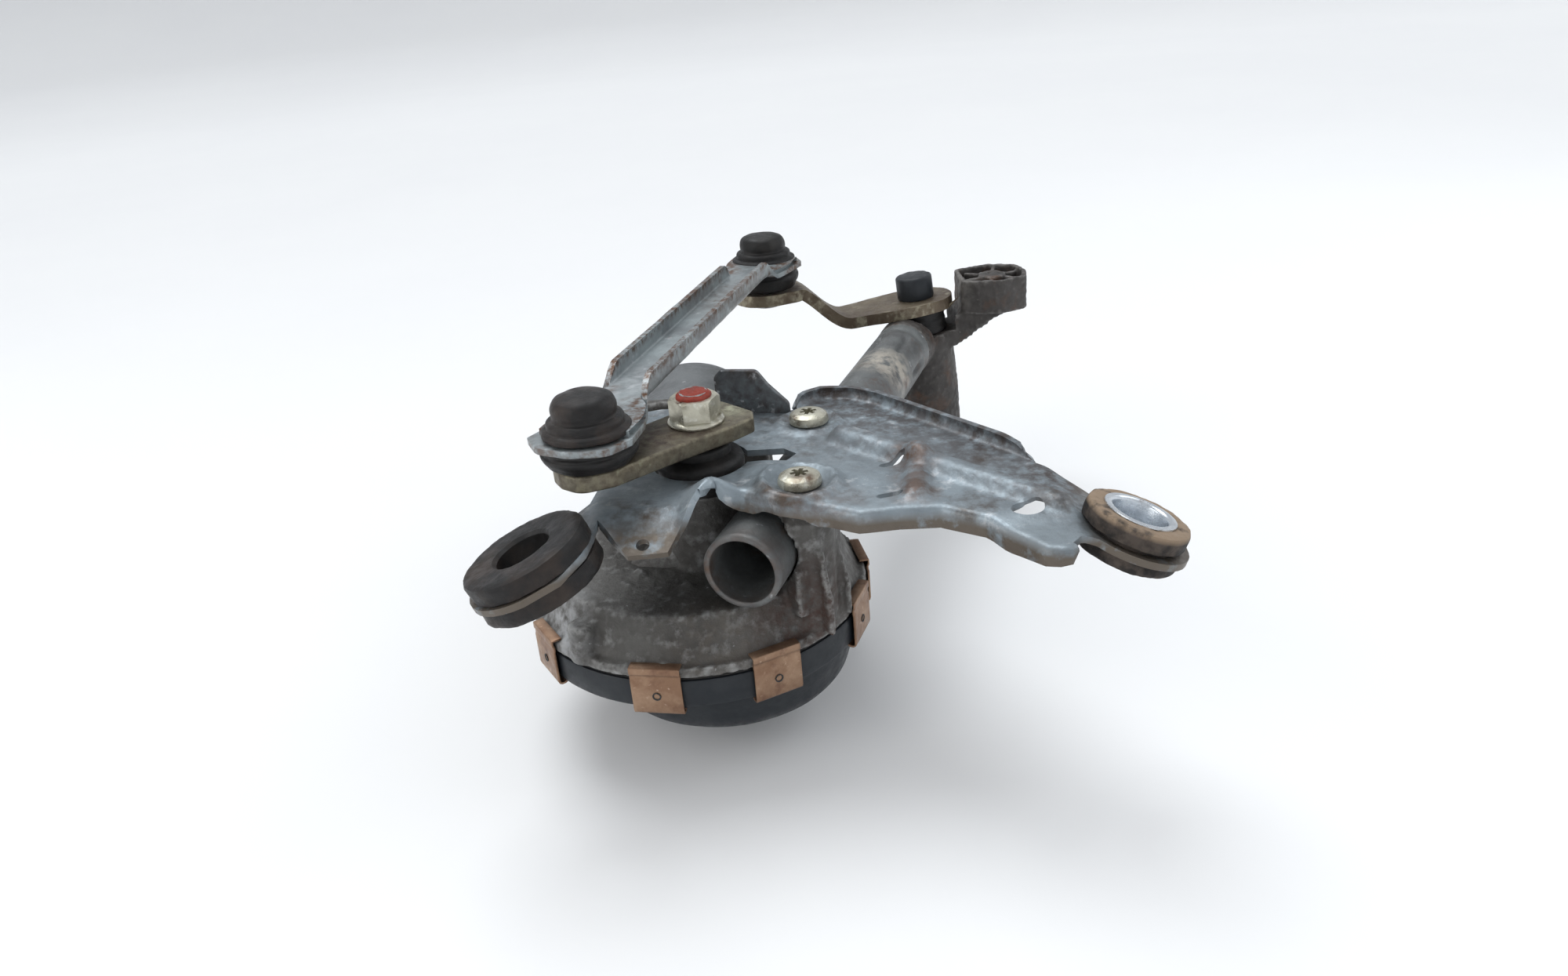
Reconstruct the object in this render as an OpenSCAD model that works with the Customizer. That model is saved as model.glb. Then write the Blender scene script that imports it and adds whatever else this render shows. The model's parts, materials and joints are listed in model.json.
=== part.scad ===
// Windshield wiper drive: stamped bracket and frame tube, geared motor, crank, link rod, pivot lever.
// The part is drawn linkage side up. The origin is the centre of the right body mount's sleeve;
// +Z runs parallel to the motor's output axis towards the crank, +X along the line between the two
// rubber body mounts, +Y towards the wiper pivot. The pieces are laid out from the point where the
// output axis crosses the bracket plate's top face, and home() then moves them to the origin.

/* [Linkage] */
// Crank radius, output axis to ball
crank_r = 35; // [33:0.5:36]
// Direction of the crank at park, degrees from +X
crank_dir = 219; // [215:1:222]
// Link rod length, ball to ball
link_len = 171; // [169:0.5:173]
// Pivot lever length, spindle to ball
lever_len = 60; // [58:0.5:62]
// Diameter of the two balls
ball_d = 10; // [9.6:0.1:10]

/* [Frame tube] */
// Outside diameter of the frame tube
tube_d = 22; // [21:0.5:22]
// Wall of the frame tube
tube_wall = 1.75; // [1.5:0.25:2]
// Angle of the tube from +Y towards +X
tube_yaw = 20.9; // [20:0.1:21.5]
// Distance of the tube's axis from the output axis
tube_side = 22.5; // [22:0.1:23]
// Distance along the tube from the output axis to the wiper spindle
pivot_reach = 171; // [168:0.5:174]
// Lean of the wiper spindle from the output axis
spindle_lean = 5; // [4:0.5:5.5]

/* [Bracket] */
// Thickness of the bracket sheet
sheet = 2; // [1.6:0.1:2.2]
// Height of the downturned front flange
front_flange = 6; // [4:0.5:7]
// Height of the upturned rear flange
rear_flange = 4; // [3:0.5:5]
// Height of the guard tab beside the crank
tab_h = 14; // [10:0.5:14]
// Droop of the two mounting ears, degrees
ear_droop = 21; // [18:1:24]

/* [Gear motor] */
// Radius of the gear housing's rim
rim_r = 51; // [51:0.5:52]
// Radius of the motor can
can_r = 26.5; // [26:0.25:27]
// Length of the motor can
can_len = 51; // [50:0.5:54]
// Distance of the armature axis from the output axis
armature_side = 9; // [8.8:0.1:9.2]
// Teeth of the output gear
output_teeth = 36; // [36:36]
// Teeth of each idler pinion
pinion_teeth = 9; // [9:9]
// Teeth of each idler wheel, driven by a two-start worm
wheel_teeth = 30; // [30:30]

/* [Hidden] */
$fn = 96;

gap = 0.05;                 // running and seating clearance
fixing_r = 3.2;             // clearance hole for an M6 screw
ball_r = ball_d / 2;

// Levels of the flat parts, from the plate's top face
crank_z = 7;
crank_t = 5;
rod_z = 18.5;
rod_t = 2;
lever_hub_z = -6.5;         // underside of the lever's hub, along the spindle
lever_disc_z = 14.1;        // top of the lever's disc, along the spindle
lever_t = 4.5;
ball_level = 9.5;           // level of the lever's disc at the far ball
lean_dir = 162.5;           // middle of the lever's swing
foot_gap = 0.9;             // open far ball joint: gap between its stud and the lever
ball_z = 23.5;
tube_z = -17.5;
tube_start = -31;
roof_z = -29;               // top of the gear housing
rim_z = -45;                // joint between the gear housing and its cover
cover_z = -54.4;            // bottom of the cover's band
bulge_z = -72;              // bottom of the cover's bulge
shaft_z = -37;              // height of the armature axis
flange_y = 68;              // front face of the can flange
flange_t = 5;
case_c = [-5, 6.5];         // centre of the round gear case

// Plan positions worked out from the driving sizes
near_ball = crank_r * [cos(crank_dir), sin(crank_dir)];
pivot = on_tube(pivot_reach);
far_ball = meet(near_ball, link_len, pivot, lever_len);
link_yaw = atan2(far_ball.x - near_ball.x, far_ball.y - near_ball.y);
lever_dir = atan2(far_ball.y - pivot.y, far_ball.x - pivot.x);
near_screw = [27.5, -22.5];
far_screw = on_tube(32);
left_screw = [-24, 29];
left_ear = [-43, -43.5, -6.3];
right_ear = [108.5, -53.5, -5.8];

// Gear train: a two-start worm drives two idlers, whose pinions drive the output gear
gear_m = 1.25;
wheel_m = 0.8;
worm_r = 4.2;
idler_reach = gear_m * (output_teeth + pinion_teeth) / 2;
wheel_reach = wheel_m * (wheel_teeth + 1.7) / 2 + worm_r + 0.3;
front_idler = idler_at(-armature_side - wheel_reach, -1);
rear_idler = idler_at(-armature_side + wheel_reach, 1);

function on_tube(along, side = tube_side) =
  [side * cos(tube_yaw) + along * sin(tube_yaw), along * cos(tube_yaw) - side * sin(tube_yaw)];
function meet(p, p_r, q, q_r) =
  let (d = norm(q - p), u = (q - p) / d, a = (p_r * p_r - q_r * q_r + d * d) / (2 * d))
  p + a * u + sqrt(p_r * p_r - a * a) * [-u.y, u.x];
function idler_at(x, side) = [x, side * sqrt(idler_reach * idler_reach - x * x)];
function worm_ridge(y) = [[3, y + 0.3], [worm_r, y + 0.8], [worm_r, y + 1.6], [3, y + 2.1]];
function polar(r, a) = [r * cos(a), r * sin(a)];
// One tooth is a trapezium whose flanks leave a fifth of the pitch as backlash
function tooth(teeth, m, i) =
  let (p = 360 / teeth, a = i * p, root = m * (teeth - 2.4) / 2, tip = m * (teeth + 1.7) / 2)
  [polar(root, a - 0.27 * p), polar(tip, a - 0.1 * p), polar(tip, a + 0.1 * p),
   polar(root, a + 0.27 * p)];

// Centre of the right mount's sleeve, the part's origin
home_at = right_ear - (sheet / 2) * [sin(ear_droop), 0, cos(ear_droop)];

// ---------- helpers ----------

module home() { translate(-home_at) children(); }

module at(p, z = 0) { translate([p.x, p.y, z]) children(); }

module in_tube() { rotate([0, 0, -tube_yaw]) translate([tube_side, 0, tube_z]) children(); }

module in_link() { at(near_ball) rotate([0, 0, -link_yaw]) children(); }

// The spindle's axis crosses the lever's ball level over the pivot point and leans to lean_dir
module in_pivot() {
  at(pivot, ball_level) rotate(a = spindle_lean, v = [-sin(lean_dir), cos(lean_dir), 0])
    translate([0, 0, -ball_level]) children();
}

module in_lever() { in_pivot() rotate([0, 0, lever_dir]) children(); }

// Places children on the armature axis, with local +Z running along +Y
module on_armature(y) { translate([-armature_side, y, shaft_z]) rotate([-90, 0, 0]) children(); }

// The two screws of the motor can, either side of the armature and above it
module at_can_bolts(y) {
  for (s = [-1, 1]) translate([-armature_side + s * 25, y, shaft_z + 25]) rotate([-90, 0, 0]) children();
}

module disc(r, z0, z1) { translate([0, 0, z0]) cylinder(r = r, h = z1 - z0); }

module ring(r, bore, z0, z1) {
  difference() {
    disc(r, z0, z1);
    disc(bore, z0 - 1, z1 + 1);
  }
}

module slab(outline, z0, z1) {
  translate([0, 0, z0]) linear_extrude(height = z1 - z0) polygon(outline);
}

module gear(teeth, m, z0, z1, turn) {
  translate([0, 0, z0]) rotate([0, 0, turn])
    linear_extrude(height = z1 - z0) polygon([for (i = [0 : teeth - 1]) each tooth(teeth, m, i)]);
}

// ---------- bracket and frame ----------

front_edge = [
  [-26.4, -32], [-3, -30], [3.5, -25], [14.7, -27], [35, -35], [44, -42], [63, -41], [76, -51],
  [84, -66], [88.5, -69], [93.4, -65]
];
rear_edge = [
  [93.4, -24], [52.5, 32.5], [41, 40.5], [27, 33], [5.7, 38.5], [-14, 44], [-30, 38], [-35, 24],
  [-30, 6], [-26.4, -10]
];

module web_outline() { polygon(concat(front_edge, rear_edge)); }

module ear(centre, side, ring_r, hole_r, joint) {
  // A flat ear that droops away from the plate, with its ring hole square to its own face
  difference() {
    translate(centre) rotate([0, side * ear_droop, 0]) translate([0, 0, -sheet]) difference() {
      linear_extrude(height = sheet) union() {
        circle(r = ring_r);
        polygon(joint);
      }
      translate([0, 0, -1]) cylinder(r = hole_r, h = sheet + 2);
    }
  }
}

module flange_wall(z0, z1, keep) {
  translate([0, 0, z0]) linear_extrude(height = z1 - z0) intersection() {
    difference() {
      web_outline();
      offset(delta = -sheet) web_outline();
    }
    polygon(keep);
  }
}

bead_from = [41.5, 7];
bead_to = [91, -46];

module bracket_plate() {
  bead_dir = atan2(bead_to.y - bead_from.y, bead_to.x - bead_from.x);
  color("lightsteelblue") home() difference() {
    union() {
      difference() {
        slab(concat(front_edge, rear_edge), -sheet, 0);
        disc(14, -sheet - 1, 1);
        translate([13, -2.5, -sheet - 1]) cube([11, 5, sheet + 2]);
      }
      // Downturned front flange, upturned rear flange and guard tab
      flange_wall(-front_flange, -sheet,
        [[-3, -28], [-3, -80], [94, -80], [94, -60], [80, -50], [44, -36], [3, -20]]);
      flange_wall(0, rear_flange, [[28, 30], [28, 60], [98, 40], [98, -30]]);
      slab([[5.7, 38.5], [27, 33], [26.5, 31.1], [5.2, 36.6]], 0, tab_h);
      // Long stiffening bead
      at(bead_from) rotate([0, 0, bead_dir]) difference() {
        rotate([0, 90, 0]) cylinder(r = 4, h = norm(bead_to - bead_from));
        translate([-1, -10, -10]) cube([100, 20, 10]);
      }
      // Front pocket with its own short apron
      translate([-14, -30.5, -sheet]) rotate([18, 0, 0]) translate([-10, -16, 0]) cube([20, 17, sheet]);
      // Ears
      ear(left_ear, -1, 18.5, 13, [[19.2, 15], [-6, 17], [-6, -17], [19.2, -8]]);
      ear(right_ear, 1, 15, 11.5, [[-16.4, -12], [-16.4, 28], [-2, 14.5], [5, -12]]);
      // Saddle that sits on the tube at the far screw
      difference() {
        at(far_screw) disc(8, -8, -sheet);
        in_tube() rotate([-90, 0, 0]) cylinder(d = tube_d + gap, h = 80);
      }
      // Pads that meet the gear housing's screw columns
      at(near_screw) disc(8.5, -sheet, 0);
      at(left_screw) disc(8.5, -sheet, 0);
    }
    for (p = [near_screw, far_screw, left_screw]) at(p) disc(fixing_r, -10, 1);
    for (p = [[54.5, -14], [51.5, -33]]) at(p) slab([[-4, -1.6], [4, -1.6], [4, 1.6], [-4, 1.6]], -3, 1);
    at([83.5, -48]) disc(3, -sheet - 1, 6);
    at([-14.5, -41], -12) cylinder(r = 1.8, h = 14);
  }
}

module frame_tube() {
  tube_end = pivot_reach - 22;
  color("dimgray") home() difference() {
    in_tube() translate([0, tube_start, 0]) rotate([-90, 0, 0]) difference() {
      cylinder(d = tube_d, h = tube_end - tube_start);
      translate([0, 0, -1]) cylinder(d = tube_d - 2 * tube_wall, h = tube_end - tube_start + 2);
    }
    // Cross hole for the long screw that clamps plate, tube and gear housing
    at(far_screw) disc(fixing_r, tube_z - tube_d, 0);
  }
}

pivot_top = -16;            // top face of the cast bearing tube
pivot_low = -62;            // lower face of the cast bearing tube
lug_reach = 32;             // spindle to the lug's hole
spindle_r = 6;
bush_r = 8;

module pivot_housing() {
  bore_r = tube_d / 2 - tube_wall - gap;
  color("darkslategray") home() difference() {
    union() {
      in_pivot() disc(13, -40, pivot_top);
      in_pivot() translate([0, 0, pivot_low]) cylinder(r1 = 12, r2 = 13, h = -40 - pivot_low);
      // Spigot that the tube is crimped on, and the shoulder behind it
      in_tube() translate([0, pivot_reach - 44, 0]) rotate([-90, 0, 0]) cylinder(r = bore_r, h = 34);
      in_tube() translate([0, pivot_reach - 22, 0]) rotate([-90, 0, 0]) cylinder(d = tube_d, h = 14);
      // Arm and ribbed lug for the third body fixing
      at(pivot) difference() {
        union() {
          slab([[0, -9], [22, -7], [27, -10], [27, 10], [22, 7], [0, 9]], -22, -10);
          translate([20, -9, -18]) cube([7, 18, 24]);
          translate([lug_reach, 0, -8]) cylinder(r = 14, h = 14);
        }
        for (a = [45 : 90 : 315]) translate([lug_reach, 0, -4]) rotate([0, 0, a])
          translate([8.2, 0, 0]) cylinder(r = 3.6, h = 12);
        translate([lug_reach, 0, -10]) cylinder(r = fixing_r, h = 20);
      }
    }
    in_pivot() disc(19, pivot_top, 20);
    in_pivot() disc(bush_r, pivot_low - 1, pivot_top + 8);
  }
}

module pivot_bushes() {
  color("peru") home() in_pivot() {
    ring(bush_r - gap, spindle_r + gap, pivot_low + 1, pivot_low + 15);
    ring(bush_r - gap, spindle_r + gap, pivot_top - 15, pivot_top - 1);
  }
}

module pivot_seal() {
  // Rubber sleeve between the casting and the lever's hub
  color("black") home() in_pivot() ring(11, spindle_r + 2.5, pivot_top + gap, lever_hub_z - 0.4);
}

module grommet(centre, side, r, groove_r, bore, half) {
  color("black") home() translate(centre) rotate([0, side * ear_droop, 0]) translate([0, 0, -sheet / 2])
  rotate_extrude() polygon([
    [bore, -half], [r - 1.5, -half], [r, -half + 1.5], [r, -sheet / 2 - gap], [groove_r, -sheet / 2 - gap],
    [groove_r, sheet / 2 + gap], [r, sheet / 2 + gap], [r, half - 1.5], [r - 1.5, half], [bore, half]
  ]);
}

module left_grommet() { grommet(left_ear, -1, 17.5, 13 - gap, 7.5, 6.5); }

module right_grommet() { grommet(right_ear, 1, 13.5, 11.5 - gap, 8.2 + gap, 6); }

module right_sleeve() {
  color("silver") home() translate(right_ear) rotate([0, ear_droop, 0]) translate([0, 0, -sheet / 2])
    ring(8.2, 7.2, -6.4, 6.4);
}

screw_head_r = 6;

module screw(z_tip) {
  difference() {
    union() {
      disc(screw_head_r, gap, 3.6);
      disc(3 - gap, z_tip, 0.5);
    }
    for (a = [0 : 60 : 120]) rotate([0, 0, a]) translate([-2.6, -0.7, 1.8]) cube([5.2, 1.4, 3]);
  }
}

module bracket_screws() {
  color("gainsboro") home() {
    at(near_screw) screw(-9);
    at(left_screw) screw(-12);
    at(far_screw) screw(-37.5);
  }
}

// ---------- gear case ----------

case_wall = 2.6;
bulge_c = [2, 0];           // centre of the cover's bulge
board_z = -62;              // underside of the control board
board_top = board_z + 1.6;
bush_low = -33;             // lower end of the output shaft's bush
case_r = rim_r - 3;
neck_x = [-37, 19];

module case_form(shrink, low, high) {
  // Round case that tapers to its roof, with the straight side that runs back to the motor
  side = neck_x + [shrink, -shrink] * 5;
  at(case_c, low) cylinder(r1 = case_r + 1 - shrink, r2 = case_r - 5 - shrink, h = high - low);
  translate([side[0], case_c.y, low])
    cube([side[1] - side[0], flange_y - case_c.y - shrink * 5, high - low]);
}

module gear_housing() {
  color("gray") home() difference() {
    union() {
      case_form(0, rim_z, roof_z);
      at(case_c) disc(rim_r, rim_z, rim_z + 3);
      // Deep box and square flange behind the round case, where the can bolts on
      translate([neck_x[0], 59, shaft_z - can_r]) cube([neck_x[1] - neck_x[0], flange_y - 59, 2 * can_r]);
      translate([-armature_side - 29, flange_y, shaft_z - 29]) cube([58, flange_t, 60]);
      disc(10.5, roof_z, -7);
      at(left_screw) disc(7.5, roof_z, -sheet);
      // Tall column right of the tube, under the near screw
      difference() {
        union() {
          at(near_screw) disc(6.5, roof_z, -sheet);
          slab([[22, -30], [30, -30], [35, -25], [36.6, -17], [38.3, -11.5], [24, -10]],
            rim_z + 3, -front_flange - 1);
        }
        in_tube() translate([0, -60, 0]) rotate([-90, 0, 0]) cylinder(d = tube_d + 1, h = 120);
      }
    }
    // Gear space, around the shaft boss, the far screw's boss and the armature's end bearing
    difference() {
      case_form(case_wall + 0.3, rim_z - gap, roof_z - case_wall);
      disc(10.5, bush_low + 1, roof_z);
      at(far_screw) disc(6, -39, roof_z);
      translate([-armature_side - 7, -33, -43]) cube([14, 7, 15]);
    }
    on_armature(50) cylinder(r = 22.5, h = 40);
    // Bores: output bush, armature end bushes, idler pins and screw threads
    disc(8, bush_low - 1, 0);
    on_armature(-30) cylinder(r = 3.2, h = 110);
    on_armature(-32) cylinder(r = 5, h = 8);
    for (p = [front_idler, rear_idler]) at(p) disc(2, roof_z - 4, roof_z - 1);
    at(near_screw) disc(3, -14, 0);
    at(left_screw) disc(3, -18, 0);
    at(far_screw) disc(3, -38, roof_z + 1);
    at_can_bolts(flange_y - 8) cylinder(r = 2, h = 30);
  }
}

module cover_gasket() {
  color("black") home() at(case_c) ring(rim_r - 1.2, rim_r - 3, rim_z - 0.6, rim_z - gap);
}

module gear_cover() {
  color("darkslategray") home() difference() {
    union() {
      at(case_c) disc(rim_r - 0.4, cover_z, rim_z - 0.6 - gap);
      at(bulge_c, bulge_z) cylinder(r1 = 30, r2 = 40, h = cover_z - bulge_z);
    }
    at(case_c) disc(rim_r - 3.2, cover_z + 2, rim_z);
    difference() {
      at(bulge_c, bulge_z + 2) cylinder(r1 = 28.5, r2 = 38.5, h = cover_z - bulge_z);
      // Posts under the control board
      for (a = [0 : 120 : 240]) at(bulge_c, bulge_z) rotate([0, 0, a]) translate([24, 0, 0])
        cylinder(r = 2.5, h = board_z - bulge_z - gap);
    }
  }
}

clip_angles = [38, 8, 338, 295.5, 257.5, 210, 170, 145];
clip_w = 14.5;
socket_dir = 50;            // the connector's direction, clear of the motor's mounting box

module spring_clips() {
  // Side profile of one clip: hook over the rim, face, hook under the cover's band
  profile = [
    [rim_r - 2.6, rim_z + 3.1], [rim_r + 0.2, rim_z + 3.1], [rim_r + 0.2, cover_z - 0.1],
    [rim_r - 1.4, cover_z - 0.1], [rim_r - 1.4, cover_z - 0.9], [rim_r + 1, cover_z - 0.9],
    [rim_r + 1, rim_z + 3.9], [rim_r - 2.6, rim_z + 3.9]
  ];
  color("peru") home() difference() {
    for (a = clip_angles) at(case_c) rotate([0, 0, a]) rotate([90, 0, 0]) translate([0, 0, -clip_w / 2])
      linear_extrude(height = clip_w) polygon(profile);
    for (a = clip_angles) at(case_c, (rim_z + cover_z) / 2) rotate([0, 0, a]) rotate([0, 90, 0])
      translate([0, 0, rim_r - 1]) cylinder(r = 1.1, h = 4);
  }
}

// ---------- motor ----------

can_y = flange_y + flange_t;
can_wall = 1.6;

module motor_can() {
  color("slategray") home() difference() {
    union() {
      on_armature(can_y + gap) cylinder(r = can_r, h = can_len - gap);
      on_armature(can_y + can_len - 1) cylinder(r = 8, h = 5);
      translate([-armature_side - 28, can_y + gap, shaft_z + 18]) cube([56, 2, 12]);
    }
    on_armature(can_y - 1) cylinder(r = can_r - can_wall, h = can_len + 1 - can_wall);
    on_armature(can_y + can_len - 3) cylinder(r = 6, h = 5.5);
    at_can_bolts(can_y - 1) cylinder(r = 2.1, h = 4);
  }
}

module can_screws() {
  color("gainsboro") home() at_can_bolts(can_y + 2 + gap) {
    cylinder(r = 3.6, h = 2.6);
    translate([0, 0, -9]) cylinder(r = 2 - gap, h = 9.5);
  }
}

module field_magnets() {
  inner = 18.5;
  color("dimgray") home() on_armature(can_y + 6) difference() {
    cylinder(r = can_r - can_wall - gap, h = 36);
    translate([0, 0, -1]) cylinder(r = inner, h = 38);
    for (a = [0, 90]) rotate([0, 0, a]) translate([-40, -5, -1]) cube([80, 10, 38]);
  }
}

module armature_shaft() {
  ridges = 6;
  color("silver") home() {
    on_armature(-31.5) cylinder(r = 3, h = can_y + can_len - 1 + 31.5);
    // The two worms, as close-set ridges
    for (p = [front_idler, rear_idler]) on_armature(p.y - 6.5) rotate_extrude() polygon(concat(
      [[2, 0], [3, 0]],
      [for (i = [0 : ridges - 1]) each worm_ridge(i * 2)],
      [[3, 13], [2, 13]]
    ));
  }
}

module armature_core() {
  color("gray") home() on_armature(can_y + 9) difference() {
    cylinder(r = 17.8, h = 30);
    translate([0, 0, -1]) cylinder(r = 3 + gap / 2, h = 32);
    for (a = [0 : 36 : 324]) rotate([0, 0, a]) {
      translate([8, -1.5, -1]) cube([6.5, 3, 32]);
      translate([14, -0.6, -1]) cube([5, 1.2, 32]);
    }
  }
}

module armature_windings() {
  // Copper in the core's slots, joined by the end turns
  color("peru") home() on_armature(can_y + 9) {
    for (a = [0 : 36 : 324]) rotate([0, 0, a]) translate([8.3, -1.2, -2]) cube([5.9, 2.4, 34]);
    ring(14.5, 5.5, -6, -gap);
    ring(14.5, 5.5, 30 + gap, 35);
  }
}

module commutator() {
  color("peru") home() on_armature(can_y - 13) difference() {
    cylinder(r = 9, h = 13);
    translate([0, 0, -1]) cylinder(r = 3 + gap / 2, h = 15);
    for (a = [0 : 36 : 324]) rotate([0, 0, a]) translate([8, -0.3, -1]) cube([3, 0.6, 15]);
  }
}

module brush_plate() {
  color("saddlebrown") home() on_armature(can_y - 5) difference() {
    cylinder(r = 22.3, h = 3);
    translate([0, 0, -1]) cylinder(r = 10.5, h = 5);
  }
}

module carbon_brushes() {
  color("black") home() on_armature(can_y - 5) for (a = [0, 180]) rotate([0, 0, a])
    translate([9.3, -2.5, -5 - gap]) cube([9, 5, 5]);
}

module armature_bushes() {
  color("peru") home() {
    on_armature(can_y + can_len - 2.9) ring(6 - gap, 3 + gap, 0, 4.5);
    on_armature(-31.9) ring(5 - gap, 3 + gap, 0, 5.9);
  }
}

module output_bush() { color("peru") home() ring(8 - gap, 5 + gap, bush_low, -8); }

module shaft_seal() {
  color("black") home() difference() {
    union() {
      ring(12.5, 5 + gap, -6.95, 2);
      ring(9, 5 + gap, 1.9, 6);
    }
    disc(8, -8, -6.9);
  }
}

module idler_pins() {
  color("silver") home() for (p = [front_idler, rear_idler]) at(p)
    disc(2 - gap / 2, -50.5, roof_z - 1 - gap);
}

module idler(p, turn) {
  color("ivory") home() at(p) difference() {
    union() {
      gear(wheel_teeth, wheel_m, shaft_z - 3.5, shaft_z + 3.5, 0);
      gear(pinion_teeth, gear_m, -50, shaft_z - 3.4, turn);
    }
    disc(2 + gap, -60, -20);
  }
}

// Turns each pinion so that a tooth gap faces a tooth of the output gear
function pinion_turn(p) =
  let (a = atan2(p.y, p.x), w = a * output_teeth / 360)
  a + 180 + (w - floor(w)) * 360 / pinion_teeth + 180 / pinion_teeth;

module front_idler_gear() { idler(front_idler, pinion_turn(front_idler)); }

module rear_idler_gear() { idler(rear_idler, pinion_turn(rear_idler)); }

module output_gear() {
  color("ivory") home() difference() {
    gear(output_teeth, gear_m, -50, -44, 0);
    disc(5 + gap / 2, -60, -40);
  }
}

module output_shaft() {
  color("silver") home() {
    disc(5, -51, 6.5);
    disc(4, 6.4, 21);
  }
}

module shaft_circlip() { color("dimgray") home() ring(8, 5 + gap / 2, -43.8, -42.6); }

module control_board() {
  color("darkgreen") home() {
    at(bulge_c) disc(28, board_z, board_top);
    translate([-12, -14, board_top + gap]) cube([12, 10, 2.4]);
    translate([6, 4, board_top + gap]) cube([9, 9, 3]);
  }
}

module connector_socket() {
  // Shrouded multi-pin inlet under the cover's band, its mouth facing away from the output axis
  color("black") home() at(case_c, cover_z) rotate([0, 0, socket_dir]) difference() {
    union() {
      translate([42, -13, -10]) cube([12, 26, 8.8]);
      translate([42, -9, -2]) cube([6, 18, 2 - gap]);
    }
    translate([45.5, -11.5, -8.7]) cube([12, 23, 6.1]);
  }
}

// ---------- crank, link and lever ----------

module crank_arm() {
  u = near_ball / crank_r;
  n = [-u.y, u.x];
  color("darkkhaki") home() difference() {
    union() {
      slab([
        -13 * u + 8 * n, -10 * u + 10.5 * n, 4 * u + 11 * n, near_ball + 10.5 * n,
        near_ball - 10.5 * n, 4 * u - 11 * n, -10 * u - 10.5 * n, -13 * u - 8 * n
      ], crank_z, crank_z + crank_t);
      at(near_ball) disc(10.5, crank_z, crank_z + crank_t);
    }
    disc(4 + gap, 0, 20);
    at(near_ball) disc(3.5 + gap / 2, 0, 20);
  }
}

module crank_nut() {
  color("palegoldenrod") home() difference() {
    union() {
      translate([0, 0, crank_z + crank_t + 1.5]) cylinder(d = 15, h = 6, $fn = 6);
      disc(8.2, crank_z + crank_t + gap, crank_z + crank_t + 1.5);
    }
    disc(4 + gap, 0, 30);
  }
}

module ball_stud(foot_z) {
  difference() {
    union() {
      translate([0, 0, ball_z]) sphere(r = ball_r);
      disc(3.5, foot_z, ball_z - 3);
    }
    disc(20, ball_z + ball_r - 0.6, ball_z + 10);
  }
}

module near_ball_stud() { color("silver") home() at(near_ball) ball_stud(crank_z); }

module far_ball_stud() { color("silver") home() at(far_ball) ball_stud(ball_level + foot_gap); }

module socket() {
  color("white") home() difference() {
    disc(7.4, rod_z - 0.4, ball_z + ball_r + 0.6);
    translate([0, 0, ball_z]) sphere(r = ball_r + gap);
    disc(4.4, rod_z - 2, ball_z - 1);
  }
}

module near_socket() { at(near_ball) socket(); }

module far_socket() { at(far_ball) socket(); }

module upper_boot() {
  z = rod_z + rod_t + gap;
  color("black") home() rotate_extrude() polygon([
    [7.5, z], [12, z], [12, z + 1.6], [10.4, z + 2.4], [10, z + 4.6], [8.9, z + 5.2], [8.9, z + 7.5],
    [7.6, z + 9.6], [4.5, z + 10.6], [0, z + 10.9], [0, z + 9.4], [6.4, z + 9.4], [7.5, z + 8.6]
  ]);
}

module lower_boot(foot_z) {
  z = rod_z - gap;
  color("black") home() rotate_extrude() polygon([
    [4.2, foot_z], [11, foot_z], [13.2, foot_z + 2], [13.2, z - 1], [12.6, z], [7.6, z],
    [7.6, z - 1.5], [4.2, z - 1.5]
  ]);
}

module near_upper_boot() { at(near_ball) upper_boot(); }

module far_upper_boot() { at(far_ball) upper_boot(); }

module near_lower_boot() { at(near_ball) lower_boot(crank_z + crank_t + 0.3); }

module far_lower_boot() { at(far_ball) lower_boot(ball_level + foot_gap); }

module link_rod() {
  // Outline in the link's own frame: X across, Y from the near ball to the far ball
  half = 8;
  far = link_len;
  outline = [
    [-12.7, -7.5], [-6, -13.5], [5, -14], [12, -7], [13, 8], [9.8, 24], [half, 30], [half, far - 26],
    [12, far - 10], [14.2, far], [11, far + 9], [3, far + 13], [-6, far + 11], [-12, far + 2],
    [-11, far - 12], [-half, far - 24], [-half, 26], [-12, 10]
  ];
  color("lightsteelblue") home() in_link() difference() {
    union() {
      slab(outline, rod_z, rod_z + rod_t);
      translate([-half, 27, rod_z]) cube([rod_t, far - 52, 7.5]);
      translate([half - rod_t, 28, rod_z]) cube([rod_t, far - 52, 7.5]);
    }
    for (y = [0, far]) translate([0, y, rod_z - 1]) cylinder(r = 7.4 + gap / 2, h = rod_t + 2);
  }
}

// The lever's disc is pitched back by the spindle's lean, so it is level half way through the swing
module on_lever_disc() {
  translate([lever_len, 0, lever_disc_z]) rotate([0, -spindle_lean, 0]) children();
}

module pivot_lever() {
  hub_top = lever_hub_z + lever_t;
  disc_low = lever_disc_z - lever_t;
  color("olive") home() in_lever() difference() {
    union() {
      disc(14, lever_hub_z, hub_top);
      slab([[0, -13.8], [22, -11], [34, -9], [34, 9], [22, 11], [0, 13.8]], lever_hub_z, hub_top);
      rotate([90, 0, 0]) translate([0, 0, -9]) linear_extrude(height = 18) polygon([
        [28, lever_hub_z], [35, lever_hub_z], [47.5, disc_low - 0.9], [54, disc_low - 0.3],
        [54, lever_disc_z - 0.6], [45.5, lever_disc_z - 1.2], [33.5, hub_top], [28, hub_top]
      ]);
      on_lever_disc() disc(12.5, -lever_t, 0);
    }
    disc(5, -20, 20);
    on_lever_disc() disc(3.5 + gap, -20, 20);
  }
}

module lever_rivet() {
  // The stud's riveted tail
  color("silver") home() in_lever() on_lever_disc() {
    disc(3.5, -lever_t - 1, -0.1);
    disc(5, -lever_t - 2, -lever_t - gap);
  }
}

spindle_tip = -84;

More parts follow.
